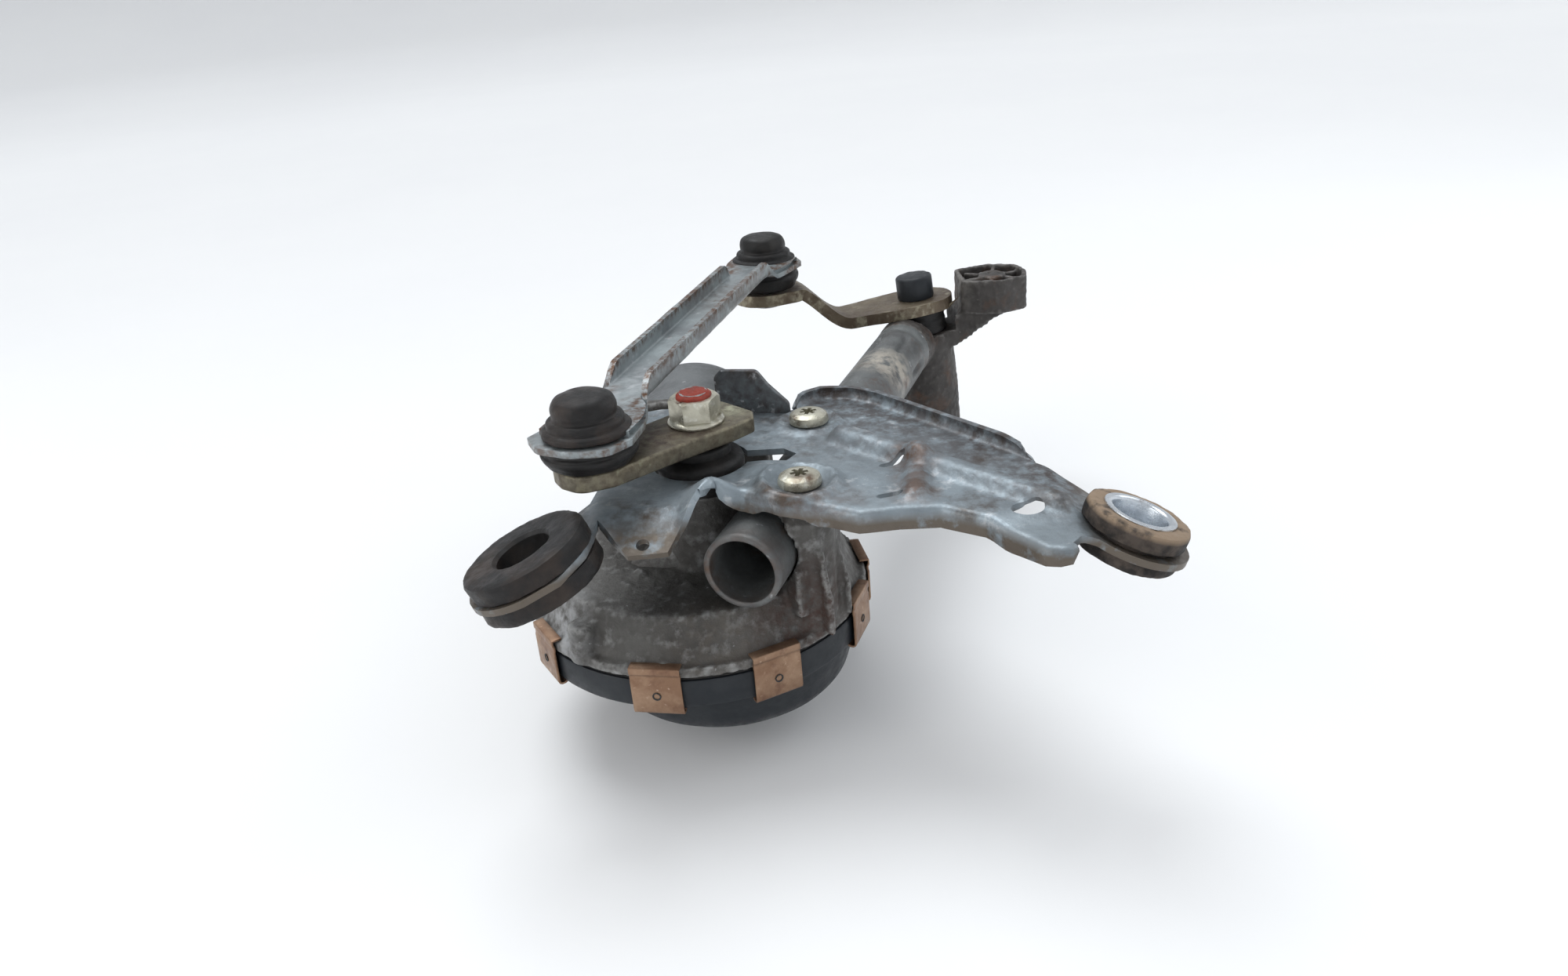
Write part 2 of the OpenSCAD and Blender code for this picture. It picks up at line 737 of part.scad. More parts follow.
module pivot_spindle() {
  hub_top = lever_hub_z + lever_t;
  color("silver") home() in_pivot() {
    disc(5 - gap, lever_hub_z - 0.5, hub_top + 3);
    disc(spindle_r, pivot_low - 5, lever_hub_z - gap);
    // Tapered seat and threaded end for the wiper arm
    translate([0, 0, pivot_low - 12]) cylinder(r1 = 4.6, r2 = 5.6, h = 7);
    disc(4, spindle_tip, pivot_low - 12);
  }
}

module spindle_cap() {
  hub_top = lever_hub_z + lever_t;
  color("black") home() in_pivot() difference() {
    disc(7.3, hub_top + gap, hub_top + 9);
    disc(5, -10, hub_top + 4);
  }
}

module spindle_washer() {
  color("silver") home() in_pivot() ring(9.5, spindle_r + gap / 2, pivot_low - 1.5, pivot_low - 0.3);
}

module spindle_circlip() {
  color("dimgray") home() in_pivot() ring(8.5, spindle_r + gap / 2, pivot_low - 2.9, pivot_low - 1.6);
}

bracket_plate();
frame_tube();
pivot_housing();
left_grommet();
right_grommet();
right_sleeve();
bracket_screws();
pivot_bushes();
pivot_seal();
gear_housing();
gear_cover();
cover_gasket();
spring_clips();
motor_can();
field_magnets();
can_screws();
brush_plate();
carbon_brushes();
armature_bushes();
output_bush();
shaft_seal();
idler_pins();
control_board();
connector_socket();
output_shaft();
output_gear();
shaft_circlip();
crank_arm();
crank_nut();
near_ball_stud();
armature_shaft();
armature_core();
armature_windings();
commutator();
front_idler_gear();
rear_idler_gear();
link_rod();
near_socket();
far_socket();
near_upper_boot();
near_lower_boot();
far_upper_boot();
far_lower_boot();
far_ball_stud();
pivot_lever();
lever_rivet();
pivot_spindle();
spindle_cap();
spindle_washer();
spindle_circlip();
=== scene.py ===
import json
import math
import bpy
import bmesh
from mathutils import Matrix, Vector, geometry, kdtree, noise

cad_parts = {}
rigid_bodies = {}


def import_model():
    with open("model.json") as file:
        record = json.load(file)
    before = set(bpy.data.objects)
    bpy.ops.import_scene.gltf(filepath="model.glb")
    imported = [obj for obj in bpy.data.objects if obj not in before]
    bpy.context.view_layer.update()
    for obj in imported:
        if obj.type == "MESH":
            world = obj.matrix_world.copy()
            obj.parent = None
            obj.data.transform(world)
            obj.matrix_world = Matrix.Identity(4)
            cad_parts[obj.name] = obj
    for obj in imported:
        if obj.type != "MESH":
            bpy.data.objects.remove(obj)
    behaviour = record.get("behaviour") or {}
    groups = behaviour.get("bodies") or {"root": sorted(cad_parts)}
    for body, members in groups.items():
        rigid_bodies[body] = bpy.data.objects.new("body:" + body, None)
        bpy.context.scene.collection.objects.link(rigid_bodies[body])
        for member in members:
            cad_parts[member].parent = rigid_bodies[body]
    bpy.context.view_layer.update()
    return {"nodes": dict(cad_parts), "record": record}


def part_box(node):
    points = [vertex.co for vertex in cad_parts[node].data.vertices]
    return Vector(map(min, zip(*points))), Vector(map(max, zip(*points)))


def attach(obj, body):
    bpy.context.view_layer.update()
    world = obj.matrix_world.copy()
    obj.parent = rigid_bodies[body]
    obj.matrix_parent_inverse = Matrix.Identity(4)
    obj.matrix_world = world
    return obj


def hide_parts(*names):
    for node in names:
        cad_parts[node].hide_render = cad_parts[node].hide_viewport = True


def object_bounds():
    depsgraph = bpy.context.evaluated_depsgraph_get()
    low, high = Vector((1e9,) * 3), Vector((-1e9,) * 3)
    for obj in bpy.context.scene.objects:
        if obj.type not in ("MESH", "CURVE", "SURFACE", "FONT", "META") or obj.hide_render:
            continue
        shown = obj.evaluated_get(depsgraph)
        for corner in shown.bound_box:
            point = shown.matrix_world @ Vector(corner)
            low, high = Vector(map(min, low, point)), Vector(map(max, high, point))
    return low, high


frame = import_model()
MM = 0.001
JOINTS = {j["name"]: j for j in frame["record"]["behaviour"]["joints"]}
# Millimetre layout frame: the motor's output axis, level with the bracket plate's top face
CRANK_MID = 9.5
BALL_LEVEL = 9.5
AXIS = Vector(JOINTS["crank_turn"]["pos_m"]) - Vector((0, 0, CRANK_MID * MM))
NEAR = (Vector(JOINTS["link_swing"]["pos_m"]) - AXIS) / MM
SPINDLE_UP = Vector(JOINTS["lever_swing"]["axis"]).normalized()
SPINDLE_AT = (Vector(JOINTS["lever_swing"]["pos_m"]) - AXIS) / MM
PIVOT = SPINDLE_AT + SPINDLE_UP * (BALL_LEVEL - SPINDLE_AT.z) / SPINDLE_UP.z
BALL_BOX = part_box("far_ball_stud")
FAR = ((Vector(BALL_BOX[0]) + Vector(BALL_BOX[1])) / 2 - AXIS) / MM
SCREWS = [Vector((27.5, -22.5, 0)), Vector((32.4, 21.9, 0)), Vector((-24, 29, 0))]
IDENT = Matrix.Identity(4)


# ---------- materials ----------

def node(nt, kind, links=(), **values):
    """Adds a shader node, with its links and its values."""
    n = nt.nodes.new(kind)
    for key, value in values.items():
        if hasattr(n, key):
            setattr(n, key, value)
        else:
            n.inputs[key.replace("_", " ")].default_value = value
    for socket, source in dict(links).items():
        nt.links.new(source, n.inputs[socket])
    return n


def ramp(nt, source, lo, hi, to_lo=0.0, to_hi=1.0):
    """Maps source from lo..hi to to_lo..to_hi, clamped."""
    n = node(nt, "ShaderNodeMapRange", {"Value": source})
    for key, value in (("From Min", lo), ("From Max", hi), ("To Min", to_lo), ("To Max", to_hi)):
        n.inputs[key].default_value = value
    return n.outputs["Result"]


def blend(nt, factor, a, colour):
    """Mixes colour over a by factor."""
    n = nt.nodes.new("ShaderNodeMix")
    n.data_type = "RGBA"
    nt.links.new(factor, n.inputs["Factor"])
    if isinstance(a, (tuple, list)):
        n.inputs["A"].default_value = (*a, 1)
    else:
        nt.links.new(a, n.inputs["A"])
    n.inputs["B"].default_value = (*colour, 1)
    return n.outputs["Result"]


def times(nt, a, b):
    n = nt.nodes.new("ShaderNodeMath")
    n.operation = "MULTIPLY"
    nt.links.new(a, n.inputs[0])
    if isinstance(b, float):
        n.inputs[1].default_value = b
    else:
        nt.links.new(b, n.inputs[1])
    return n.outputs[0]


def material(name, base, metal=0.0, rough=0.5, tints=(), spots=(), bump=(900, 0.15), wear=None, swing=0.12,
             layer=None):
    """A procedural material for an object in the frame's own coordinates.

    tints: (colour, noise scale per metre, low, high) cover the base in patches
    spots: (point in mm, radius in mm, colour, amount) colour one place: stains and rust, and also painted
    shade and a painted highlight
    layer: (point in mm, up, low, high, colour) colours what lies above a level
    """
    m = bpy.data.materials.new(name)
    m.use_nodes = True
    nt = m.node_tree
    shader = nt.nodes["Principled BSDF"]
    where = nt.nodes.new("ShaderNodeTexCoord").outputs["Object"]

    def speckle(scale, seed, detail=6.0):
        shift = node(nt, "ShaderNodeMapping", {"Vector": where})
        shift.inputs["Location"].default_value = (seed * 0.37, seed * 0.19, seed * 0.53)
        n = node(nt, "ShaderNodeTexNoise", {"Vector": shift.outputs["Vector"]})
        n.inputs["Scale"].default_value = scale
        n.inputs["Detail"].default_value = detail
        n.inputs["Roughness"].default_value = 0.62
        return n.outputs["Fac"]

    colour = base
    for i, (tint, scale, lo, hi) in enumerate(tints):
        colour = blend(nt, ramp(nt, speckle(scale, i + len(name)), lo, hi), colour, tint)
    for i, (point, radius, tint, amount) in enumerate(spots):
        d = nt.nodes.new("ShaderNodeVectorMath")
        d.operation = "DISTANCE"
        nt.links.new(where, d.inputs[0])
        d.inputs[1].default_value = AXIS + Vector(point) * MM
        near = ramp(nt, d.outputs["Value"], radius * MM, radius * 0.25 * MM)
        patch = times(nt, near, ramp(nt, speckle(260, i + 3.3), 0.36, 0.58))
        colour = blend(nt, times(nt, patch, float(amount)), colour, tint)
    if layer:
        point, up, lo, hi, tint = layer
        d = nt.nodes.new("ShaderNodeVectorMath")
        d.operation = "DOT_PRODUCT"
        nt.links.new(where, d.inputs[0])
        d.inputs[1].default_value = up
        level = (AXIS + Vector(point) * MM).dot(Vector(up))
        top = ramp(nt, d.outputs["Value"], level + lo * MM, level + hi * MM)
        colour = blend(nt, times(nt, top, ramp(nt, speckle(150, 7.7), 0.30, 0.46)), colour, tint)
    if wear:
        edge = nt.nodes.new("ShaderNodeNewGeometry").outputs["Pointiness"]
        colour = blend(nt, times(nt, ramp(nt, edge, 0.505, 0.56), ramp(nt, speckle(400, 5.1), 0.4, 0.6)),
                       colour, wear)
    if isinstance(colour, tuple):
        colour = blend(nt, ramp(nt, speckle(300, 1.7), 0.35, 0.7), colour, tuple(c * 0.8 for c in colour))
    nt.links.new(colour, shader.inputs["Base Color"])
    shader.inputs["Metallic"].default_value = metal
    shader.inputs["Specular IOR Level"].default_value = 0.5 if metal else 0.28
    nt.links.new(ramp(nt, speckle(350, 9.2), 0.3, 0.7, max(rough - swing, 0.05), min(rough + swing, 1.0)),
                 shader.inputs["Roughness"])
    b = node(nt, "ShaderNodeBump", {"Height": speckle(bump[0], 2.9)})
    b.inputs["Strength"].default_value = bump[1]
    b.inputs["Distance"].default_value = 0.0006
    nt.links.new(b.outputs["Normal"], shader.inputs["Normal"])
    return m


WHITE_OXIDE = (0.62, 0.64, 0.66)
RUST = (0.105, 0.055, 0.032)
# Dark rust brown; on the bracket's rear rim it also serves as painted shade
DARK_RUST_AND_SHADE = (0.045, 0.028, 0.022)
DIRT = (0.075, 0.062, 0.052)

ZINC = material(
    "bracket_steel", (0.27, 0.315, 0.345), 0.5, 0.44,
    [((0.17, 0.20, 0.22), 45, 0.40, 0.64), (WHITE_OXIDE, 150, 0.58, 0.78),
     ((0.22, 0.26, 0.29), 600, 0.5, 0.7), (DIRT, 70, 0.54, 0.70)],
    # The four dark spots at height 4 along the rear upturned rim are partly rust, partly painted shade on
    # the rim's inner face
    [((60, 32, 4), 60, DARK_RUST_AND_SHADE, 0.75), ((100, -30, 4), 34, DARK_RUST_AND_SHADE, 0.9),
     ((82, -4, 4), 24, DARK_RUST_AND_SHADE, 0.8),
     ((40, 42, 4), 16, DARK_RUST_AND_SHADE, 0.9), ((30, -37, -4), 20, RUST, 0.5), ((60, -14, 2), 10, RUST, 0.95),
     ((57, -34, 2), 9, RUST, 0.8), ((58.5, -24, 2), 9, RUST, 0.7), ((-34, -40, -4), 16, RUST, 0.5),
     ((-5, -35, -6), 12, RUST, 0.4)],
    (520, 0.25), layer=((0, 0, 0), (0, 0, 1), -1.2, -4.0, (0.12, 0.10, 0.08)))
GUARD = material(
    "tab_steel", (0.15, 0.165, 0.175), 0.5, 0.48,
    [((0.08, 0.085, 0.09), 60, 0.42, 0.62), (WHITE_OXIDE, 260, 0.60, 0.72), (DARK_RUST_AND_SHADE, 90, 0.56, 0.70)],
    (), (520, 0.3), wear=DARK_RUST_AND_SHADE)
LINK = material(
    "link_steel", (0.33, 0.37, 0.38), 0.55, 0.44,
    [((0.22, 0.24, 0.25), 60, 0.42, 0.66), (WHITE_OXIDE, 210, 0.60, 0.76), (RUST, 90, 0.60, 0.72)],
    [((-20, 10, 22), 22, WHITE_OXIDE, 0.35), ((10, 90, 26), 26, RUST, 0.45)], (500, 0.2), wear=RUST)
TUBE = material(
    "tube_steel", (0.16, 0.17, 0.17), 0.5, 0.5,
    [((0.09, 0.09, 0.09), 50, 0.4, 0.66), (RUST, 80, 0.56, 0.72), (WHITE_OXIDE, 260, 0.66, 0.8)],
    [((64, 92, -8), 16, (0.46, 0.42, 0.36), 0.95), ((10, -38, -17), 14, RUST, 0.75)], (420, 0.3))
CASTING = material(
    "grey_casting", (0.108, 0.104, 0.097), 0.35, 0.6,
    [((0.06, 0.055, 0.05), 45, 0.42, 0.64), ((0.24, 0.24, 0.235), 210, 0.55, 0.74),
     (WHITE_OXIDE, 420, 0.68, 0.8)],
    [((28, -38, -36), 24, (0.06, 0.03, 0.022), 0.95), ((2, -44, -36), 22, (0.10, 0.085, 0.07), 0.6),
     ((-45, -22, -40), 18, WHITE_OXIDE, 0.45)],
    (700, 0.5), wear=(0.34, 0.34, 0.33))
DARK_CAST = material(
    "dark_casting", (0.066, 0.060, 0.056), 0.35, 0.6,
    [((0.032, 0.029, 0.027), 60, 0.42, 0.64), ((0.085, 0.05, 0.034), 90, 0.52, 0.68),
     ((0.26, 0.25, 0.23), 300, 0.68, 0.8)],
    [((96, 150, 2), 14, (0.30, 0.28, 0.25), 0.5), ((84, 140, -12), 12, (0.05, 0.03, 0.02), 0.8)],
    (650, 0.45), wear=(0.20, 0.19, 0.18))
RUBBER = material(
    "black_rubber", (0.010, 0.0095, 0.0095), 0.0, 0.5,
    [((0.022, 0.019, 0.017), 120, 0.46, 0.7), ((0.06, 0.045, 0.035), 330, 0.66, 0.8)], (), (800, 0.25))
WORN_RUBBER = material(
    "worn_rubber", (0.011, 0.010, 0.010), 0.0, 0.48,
    [((0.034, 0.024, 0.019), 60, 0.46, 0.64), ((0.07, 0.052, 0.04), 260, 0.66, 0.80)], (), (700, 0.25))
TAN_RUBBER = material(
    "tan_rubber", (0.014, 0.012, 0.011), 0.0, 0.66,
    [((0.07, 0.055, 0.045), 120, 0.46, 0.62), ((0.22, 0.18, 0.15), 300, 0.66, 0.80)], (), (600, 0.5),
    layer=((108.5, -53.5, -5.8), (0.358, 0, 0.934), 3.0, 4.2, (0.26, 0.19, 0.13)))
BRIGHT = material(
    "bright_zinc", (0.62, 0.66, 0.70), 0.9, 0.25,
    [((0.36, 0.38, 0.42), 90, 0.5, 0.7), ((0.2, 0.14, 0.1), 160, 0.66, 0.76)])
PALE_ZINC = material(
    "pale_zinc", (0.52, 0.50, 0.41), 0.75, 0.34,
    [((0.30, 0.28, 0.22), 120, 0.44, 0.66), ((0.66, 0.65, 0.58), 500, 0.54, 0.7), (RUST, 240, 0.64, 0.74)],
    [((29, -26, 3), 5, RUST, 0.9)], (700, 0.2))
OLIVE = material(
    "olive_zinc", (0.12, 0.107, 0.078), 0.5, 0.5,
    [((0.08, 0.06, 0.04), 60, 0.40, 0.62), ((0.28, 0.27, 0.18), 200, 0.60, 0.76),
     (DARK_RUST_AND_SHADE, 150, 0.54, 0.68)],
    [((-7, -7, 12), 12, DARK_RUST_AND_SHADE, 0.9), ((-17, -14, 12), 12, DARK_RUST_AND_SHADE, 0.7),
     # The pale yellow spot at the hub's back end is partly the zinc's own yellow, partly a painted highlight
     # where light falls on the hub
     ((11, 8, 11), 8, (0.42, 0.42, 0.30), 0.9)],
    (480, 0.4), wear=(0.32, 0.29, 0.20))
LEVER_ZINC = material(
    "lever_zinc", (0.155, 0.125, 0.085), 0.5, 0.5,
    [((0.085, 0.06, 0.04), 60, 0.40, 0.62), ((0.33, 0.30, 0.22), 220, 0.60, 0.76)], (), (480, 0.4),
    wear=(0.28, 0.25, 0.18))
COVER = material(
    "black_plastic", (0.014, 0.017, 0.021), 0.0, 0.45,
    [((0.026, 0.029, 0.033), 70, 0.45, 0.7), ((0.07, 0.065, 0.06), 420, 0.68, 0.8)], (), (500, 0.12))
COPPER = material(
    "copper_clip", (0.23, 0.135, 0.085), 0.8, 0.42,
    [((0.36, 0.24, 0.16), 90, 0.44, 0.66), ((0.12, 0.06, 0.045), 130, 0.56, 0.72),
     ((0.55, 0.40, 0.30), 500, 0.62, 0.76)],
    (), (600, 0.2))
CAN = material(
    "can_steel", (0.17, 0.18, 0.185), 0.6, 0.45,
    [((0.10, 0.105, 0.11), 50, 0.42, 0.64), (WHITE_OXIDE, 300, 0.66, 0.8), (RUST, 90, 0.64, 0.76)], (),
    (500, 0.2))
RED_PAINT = material("red_paint", (0.24, 0.032, 0.018), 0.0, 0.6, [((0.14, 0.03, 0.02), 300, 0.5, 0.66)],
                     (), (900, 0.5))
BRONZE = material("bronze", (0.42, 0.29, 0.14), 0.9, 0.4, [((0.30, 0.19, 0.09), 300, 0.45, 0.65)])
FERRITE = material("ferrite", (0.05, 0.05, 0.052), 0.1, 0.6, [((0.08, 0.08, 0.08), 250, 0.5, 0.7)])
BOARD = material("board", (0.02, 0.11, 0.05), 0.0, 0.4, [((0.03, 0.16, 0.08), 400, 0.5, 0.6)])
NYLON = material("ivory_nylon", (0.62, 0.58, 0.47), 0.0, 0.42, [((0.50, 0.45, 0.33), 200, 0.5, 0.7)])
STEEL = material("ground_steel", (0.50, 0.50, 0.50), 0.95, 0.28, [((0.30, 0.29, 0.28), 200, 0.5, 0.7)])
SPRING = material("spring_steel", (0.10, 0.10, 0.105), 0.8, 0.4, [((0.16, 0.14, 0.12), 250, 0.5, 0.7)])
CORE = material("core_steel", (0.22, 0.23, 0.24), 0.8, 0.45, [((0.14, 0.14, 0.15), 1200, 0.45, 0.55)])
WIRE = material("copper_wire", (0.48, 0.20, 0.09), 0.9, 0.35, [((0.30, 0.11, 0.05), 1500, 0.45, 0.55)])
BAKELITE = material("brown_plastic", (0.13, 0.065, 0.03), 0.0, 0.45, [((0.09, 0.04, 0.02), 200, 0.5, 0.7)])
CARBON = material("carbon", (0.03, 0.03, 0.03), 0.2, 0.6, [((0.06, 0.06, 0.06), 600, 0.5, 0.7)])

BY_NODE = {
    "bracket_plate": ZINC, "frame_tube": TUBE, "pivot_housing": DARK_CAST, "left_grommet": WORN_RUBBER,
    "right_grommet": TAN_RUBBER, "right_sleeve": BRIGHT, "bracket_screws": PALE_ZINC, "pivot_bushes": BRONZE,
    "pivot_seal": RUBBER, "gear_housing": CASTING, "gear_cover": COVER, "cover_gasket": RUBBER,
    "spring_clips": COPPER, "motor_can": CAN, "field_magnets": FERRITE, "can_screws": PALE_ZINC,
    "brush_plate": BAKELITE, "carbon_brushes": CARBON, "armature_bushes": BRONZE, "output_bush": BRONZE,
    "shaft_seal": RUBBER, "idler_pins": STEEL, "control_board": BOARD, "connector_socket": COVER,
    "output_shaft": STEEL, "output_gear": NYLON, "shaft_circlip": SPRING, "crank_arm": OLIVE,
    "crank_nut": PALE_ZINC, "near_ball_stud": STEEL, "armature_shaft": STEEL, "armature_core": CORE,
    "armature_windings": WIRE, "commutator": WIRE, "front_idler_gear": NYLON, "rear_idler_gear": NYLON,
    "link_rod": LINK, "near_socket": NYLON, "far_socket": NYLON, "near_upper_boot": WORN_RUBBER,
    "near_lower_boot": RUBBER, "far_upper_boot": RUBBER, "far_lower_boot": RUBBER, "far_ball_stud": STEEL,
    "pivot_lever": LEVER_ZINC, "lever_rivet": STEEL, "pivot_spindle": STEEL, "spindle_cap": COVER,
    "spindle_washer": SPRING, "spindle_circlip": SPRING,
}
for name, cad in frame["nodes"].items():
    cad.data.materials.clear()
    cad.data.materials.append(BY_NODE[name])

# ---------- mesh helpers ----------


def piece(name, parts, mat, body, instead=(), place=IDENT, smooth=True, weld=False):
    """Joins (vertices in mm, faces) parts into one object that rides on a CAD body."""
    verts, faces = [], []
    for vs, fs in parts:
        base = len(verts)
        verts += [AXIS + (place @ Vector(v)) * MM for v in vs]
        faces += [tuple(i + base for i in f) for f in fs]
    mesh = bpy.data.meshes.new(name)
    mesh.from_pydata(verts, [], faces)
    mesh.validate()
    bm = bmesh.new()
    bm.from_mesh(mesh)
    if weld:
        bmesh.ops.remove_doubles(bm, verts=bm.verts, dist=0.01 * MM)
    bmesh.ops.recalc_face_normals(bm, faces=bm.faces)
    bm.to_mesh(mesh)
    bm.free()
    mesh.polygons.foreach_set("use_smooth", [smooth] * len(mesh.polygons))
    mesh.materials.append(mat)
    obj = bpy.data.objects.new(name, mesh)
    bpy.context.scene.collection.objects.link(obj)
    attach(obj, body)
    if instead:
        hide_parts(*instead)
    return obj


def modify(obj, kind, **values):
    m = obj.modifiers.new(kind.lower(), kind)
    for key, value in values.items():
        setattr(m, key, value)
    return m


def bake(obj):
    """Applies the modifiers by taking the evaluated mesh."""
    evaluated = obj.evaluated_get(bpy.context.evaluated_depsgraph_get())
    mesh = bpy.data.meshes.new_from_object(evaluated)
    mats = [m for m in obj.data.materials]
    obj.modifiers.clear()
    obj.data = mesh
    if not mesh.materials:
        for m in mats:
            mesh.materials.append(m)
    mesh.polygons.foreach_set("use_smooth", [True] * len(mesh.polygons))
    return obj


def sharpen(obj, angle=35):
    mesh = obj.data
    mesh.polygons.foreach_set("use_smooth", [True] * len(mesh.polygons))
    bm = bmesh.new()
    bm.from_mesh(mesh)
    for e in bm.edges:
        e.smooth = len(e.link_faces) == 2 and e.calc_face_angle(0) < math.radians(angle)
    bm.to_mesh(mesh)
    bm.free()
    return obj


def push(obj, amount):
    """Moves each vertex along its normal by amount(position in mm), in mm."""
    mesh, count = obj.data, len(obj.data.vertices)
    where, normal = [0.0] * (3 * count), [0.0] * (3 * count)
    mesh.vertices.foreach_get("co", where)
    mesh.vertices.foreach_get("normal", normal)
    for i in range(0, 3 * count, 3):
        far = amount(Vector(where[i:i + 3]) / MM) * MM
        for k in range(i, i + 3):
            where[k] += normal[k] * far
    mesh.vertices.foreach_set("co", where)
    mesh.update()
    return obj


def roughen(obj, amount, scale, seed=0.0):
    """Moves each vertex a little along its normal, by seeded noise."""
    shift = Vector((seed, seed * 1.7, seed * 0.6))
    return push(obj, lambda p: noise.noise(p * scale + shift) * amount)


def curve(points, per=6):
    """Catmull-Rom curve through points."""
    out = []
    for i in range(len(points) - 1):
        a, b, c, d = (Vector(points[max(0, min(len(points) - 1, k))]) for k in (i - 1, i, i + 1, i + 2))
        for s in range(per):
            t = s / per
            out.append(((2 * b) + (c - a) * t + (2 * a - 5 * b + 4 * c - d) * t * t
                        + (3 * b - a - 3 * c + d) * t ** 3) / 2)
    out.append(Vector(points[-1]))
    return out


def lathe(profile, n=96, centre=(0, 0), start=0.0, sweep=360.0):
    """Turns (radius, height) points about a vertical axis."""
    full = sweep >= 360
    count = n if full else n + 1
    verts = []
    for k in range(count):
        a = math.radians(start + sweep * k / n)
        verts += [(centre[0] + p[0] * math.cos(a), centre[1] + p[0] * math.sin(a), p[1]) for p in profile]
    m = len(profile)
    faces = []
    for k in range(n):
        j = (k + 1) % count
        faces += [(k * m + i, j * m + i, j * m + i + 1, k * m + i + 1) for i in range(m - 1)]
    return verts, faces


def prism(outline, z0, z1):
    """An outline raised from z0 to z1."""
    n = len(outline)
    verts = [(x, y, z0) for x, y in outline] + [(x, y, z1) for x, y in outline]
    faces = [tuple(range(n))[::-1], tuple(range(n, 2 * n))]
    faces += [(i, (i + 1) % n, n + (i + 1) % n, n + i) for i in range(n)]
    return verts, faces


def rounded(points, radii, per=6):
    """Rounds the corners of a polygon."""
    out, n = [], len(points)
    for i in range(n):
        p, a, b = Vector(points[i]), Vector(points[i - 1]), Vector(points[(i + 1) % n])
        r = radii[i] if isinstance(radii, (list, tuple)) else radii
        u, v = (a - p).normalized(), (b - p).normalized()
        half = math.acos(max(-1, min(1, u.dot(v)))) / 2
        if r <= 0 or half > 1.5:
            out.append(p)
            continue
        reach = min(r / math.tan(half), (a - p).length * 0.49, (b - p).length * 0.49)
        s, e = p + u * reach, p + v * reach
        for k in range(per + 1):
            t = k / per
            out.append(s * (1 - t) ** 2 + p * 2 * t * (1 - t) + e * t * t)
    return [(q.x, q.y) for q in out]


def circle(x, y, r, n=48, squash=1.0):
    return [(x + r * squash * math.cos(2 * math.pi * k / n), y + r * math.sin(2 * math.pi * k / n))
            for k in range(n)]


def tube_mesh(r0, r1, z0, z1, n=64, cap=True):
    verts, faces = lathe([(r0, z0), (r1, z1)], n)
    if cap:
        faces = faces + [tuple(2 * k for k in range(n))[::-1], tuple(2 * k + 1 for k in range(n))]
    return verts, faces


def moved(part, matrix):
    verts, faces = part
    return [tuple(matrix @ Vector(v)) for v in verts], faces


def box(x0, x1, y0, y1, z0, z1):
    return prism([(x0, y0), (x1, y0), (x1, y1), (x0, y1)], z0, z1)


def turn(axis, degrees):
    return Matrix.Rotation(math.radians(degrees), 4, axis)


def go(x, y, z=0):
    return Matrix.Translation((x, y, z))


def ease(x, lo, hi):
    """Smooth step from 0 at lo to 1 at hi."""
    t = max(0.0, min(1.0, (x - lo) / (hi - lo)))
    return t * t * (3 - 2 * t)


def inside(x, y, loop):
    hit = False
    for i in range(len(loop)):
        (x0, y0), (x1, y1) = loop[i - 1], loop[i]
        if (y0 > y) != (y1 > y) and x < (x1 - x0) * (y - y0) / (y1 - y0) + x0:
            hit = not hit
    return hit


def resample(loop, step):
    """Spreads points along a closed loop."""
    out = []
    for i in range(len(loop)):
        a, b = Vector(loop[i]), Vector(loop[(i + 1) % len(loop)])
        n = max(1, round((b - a).length / step))
        out += [tuple(a + (b - a) * k / n) for k in range(n)]
    return out


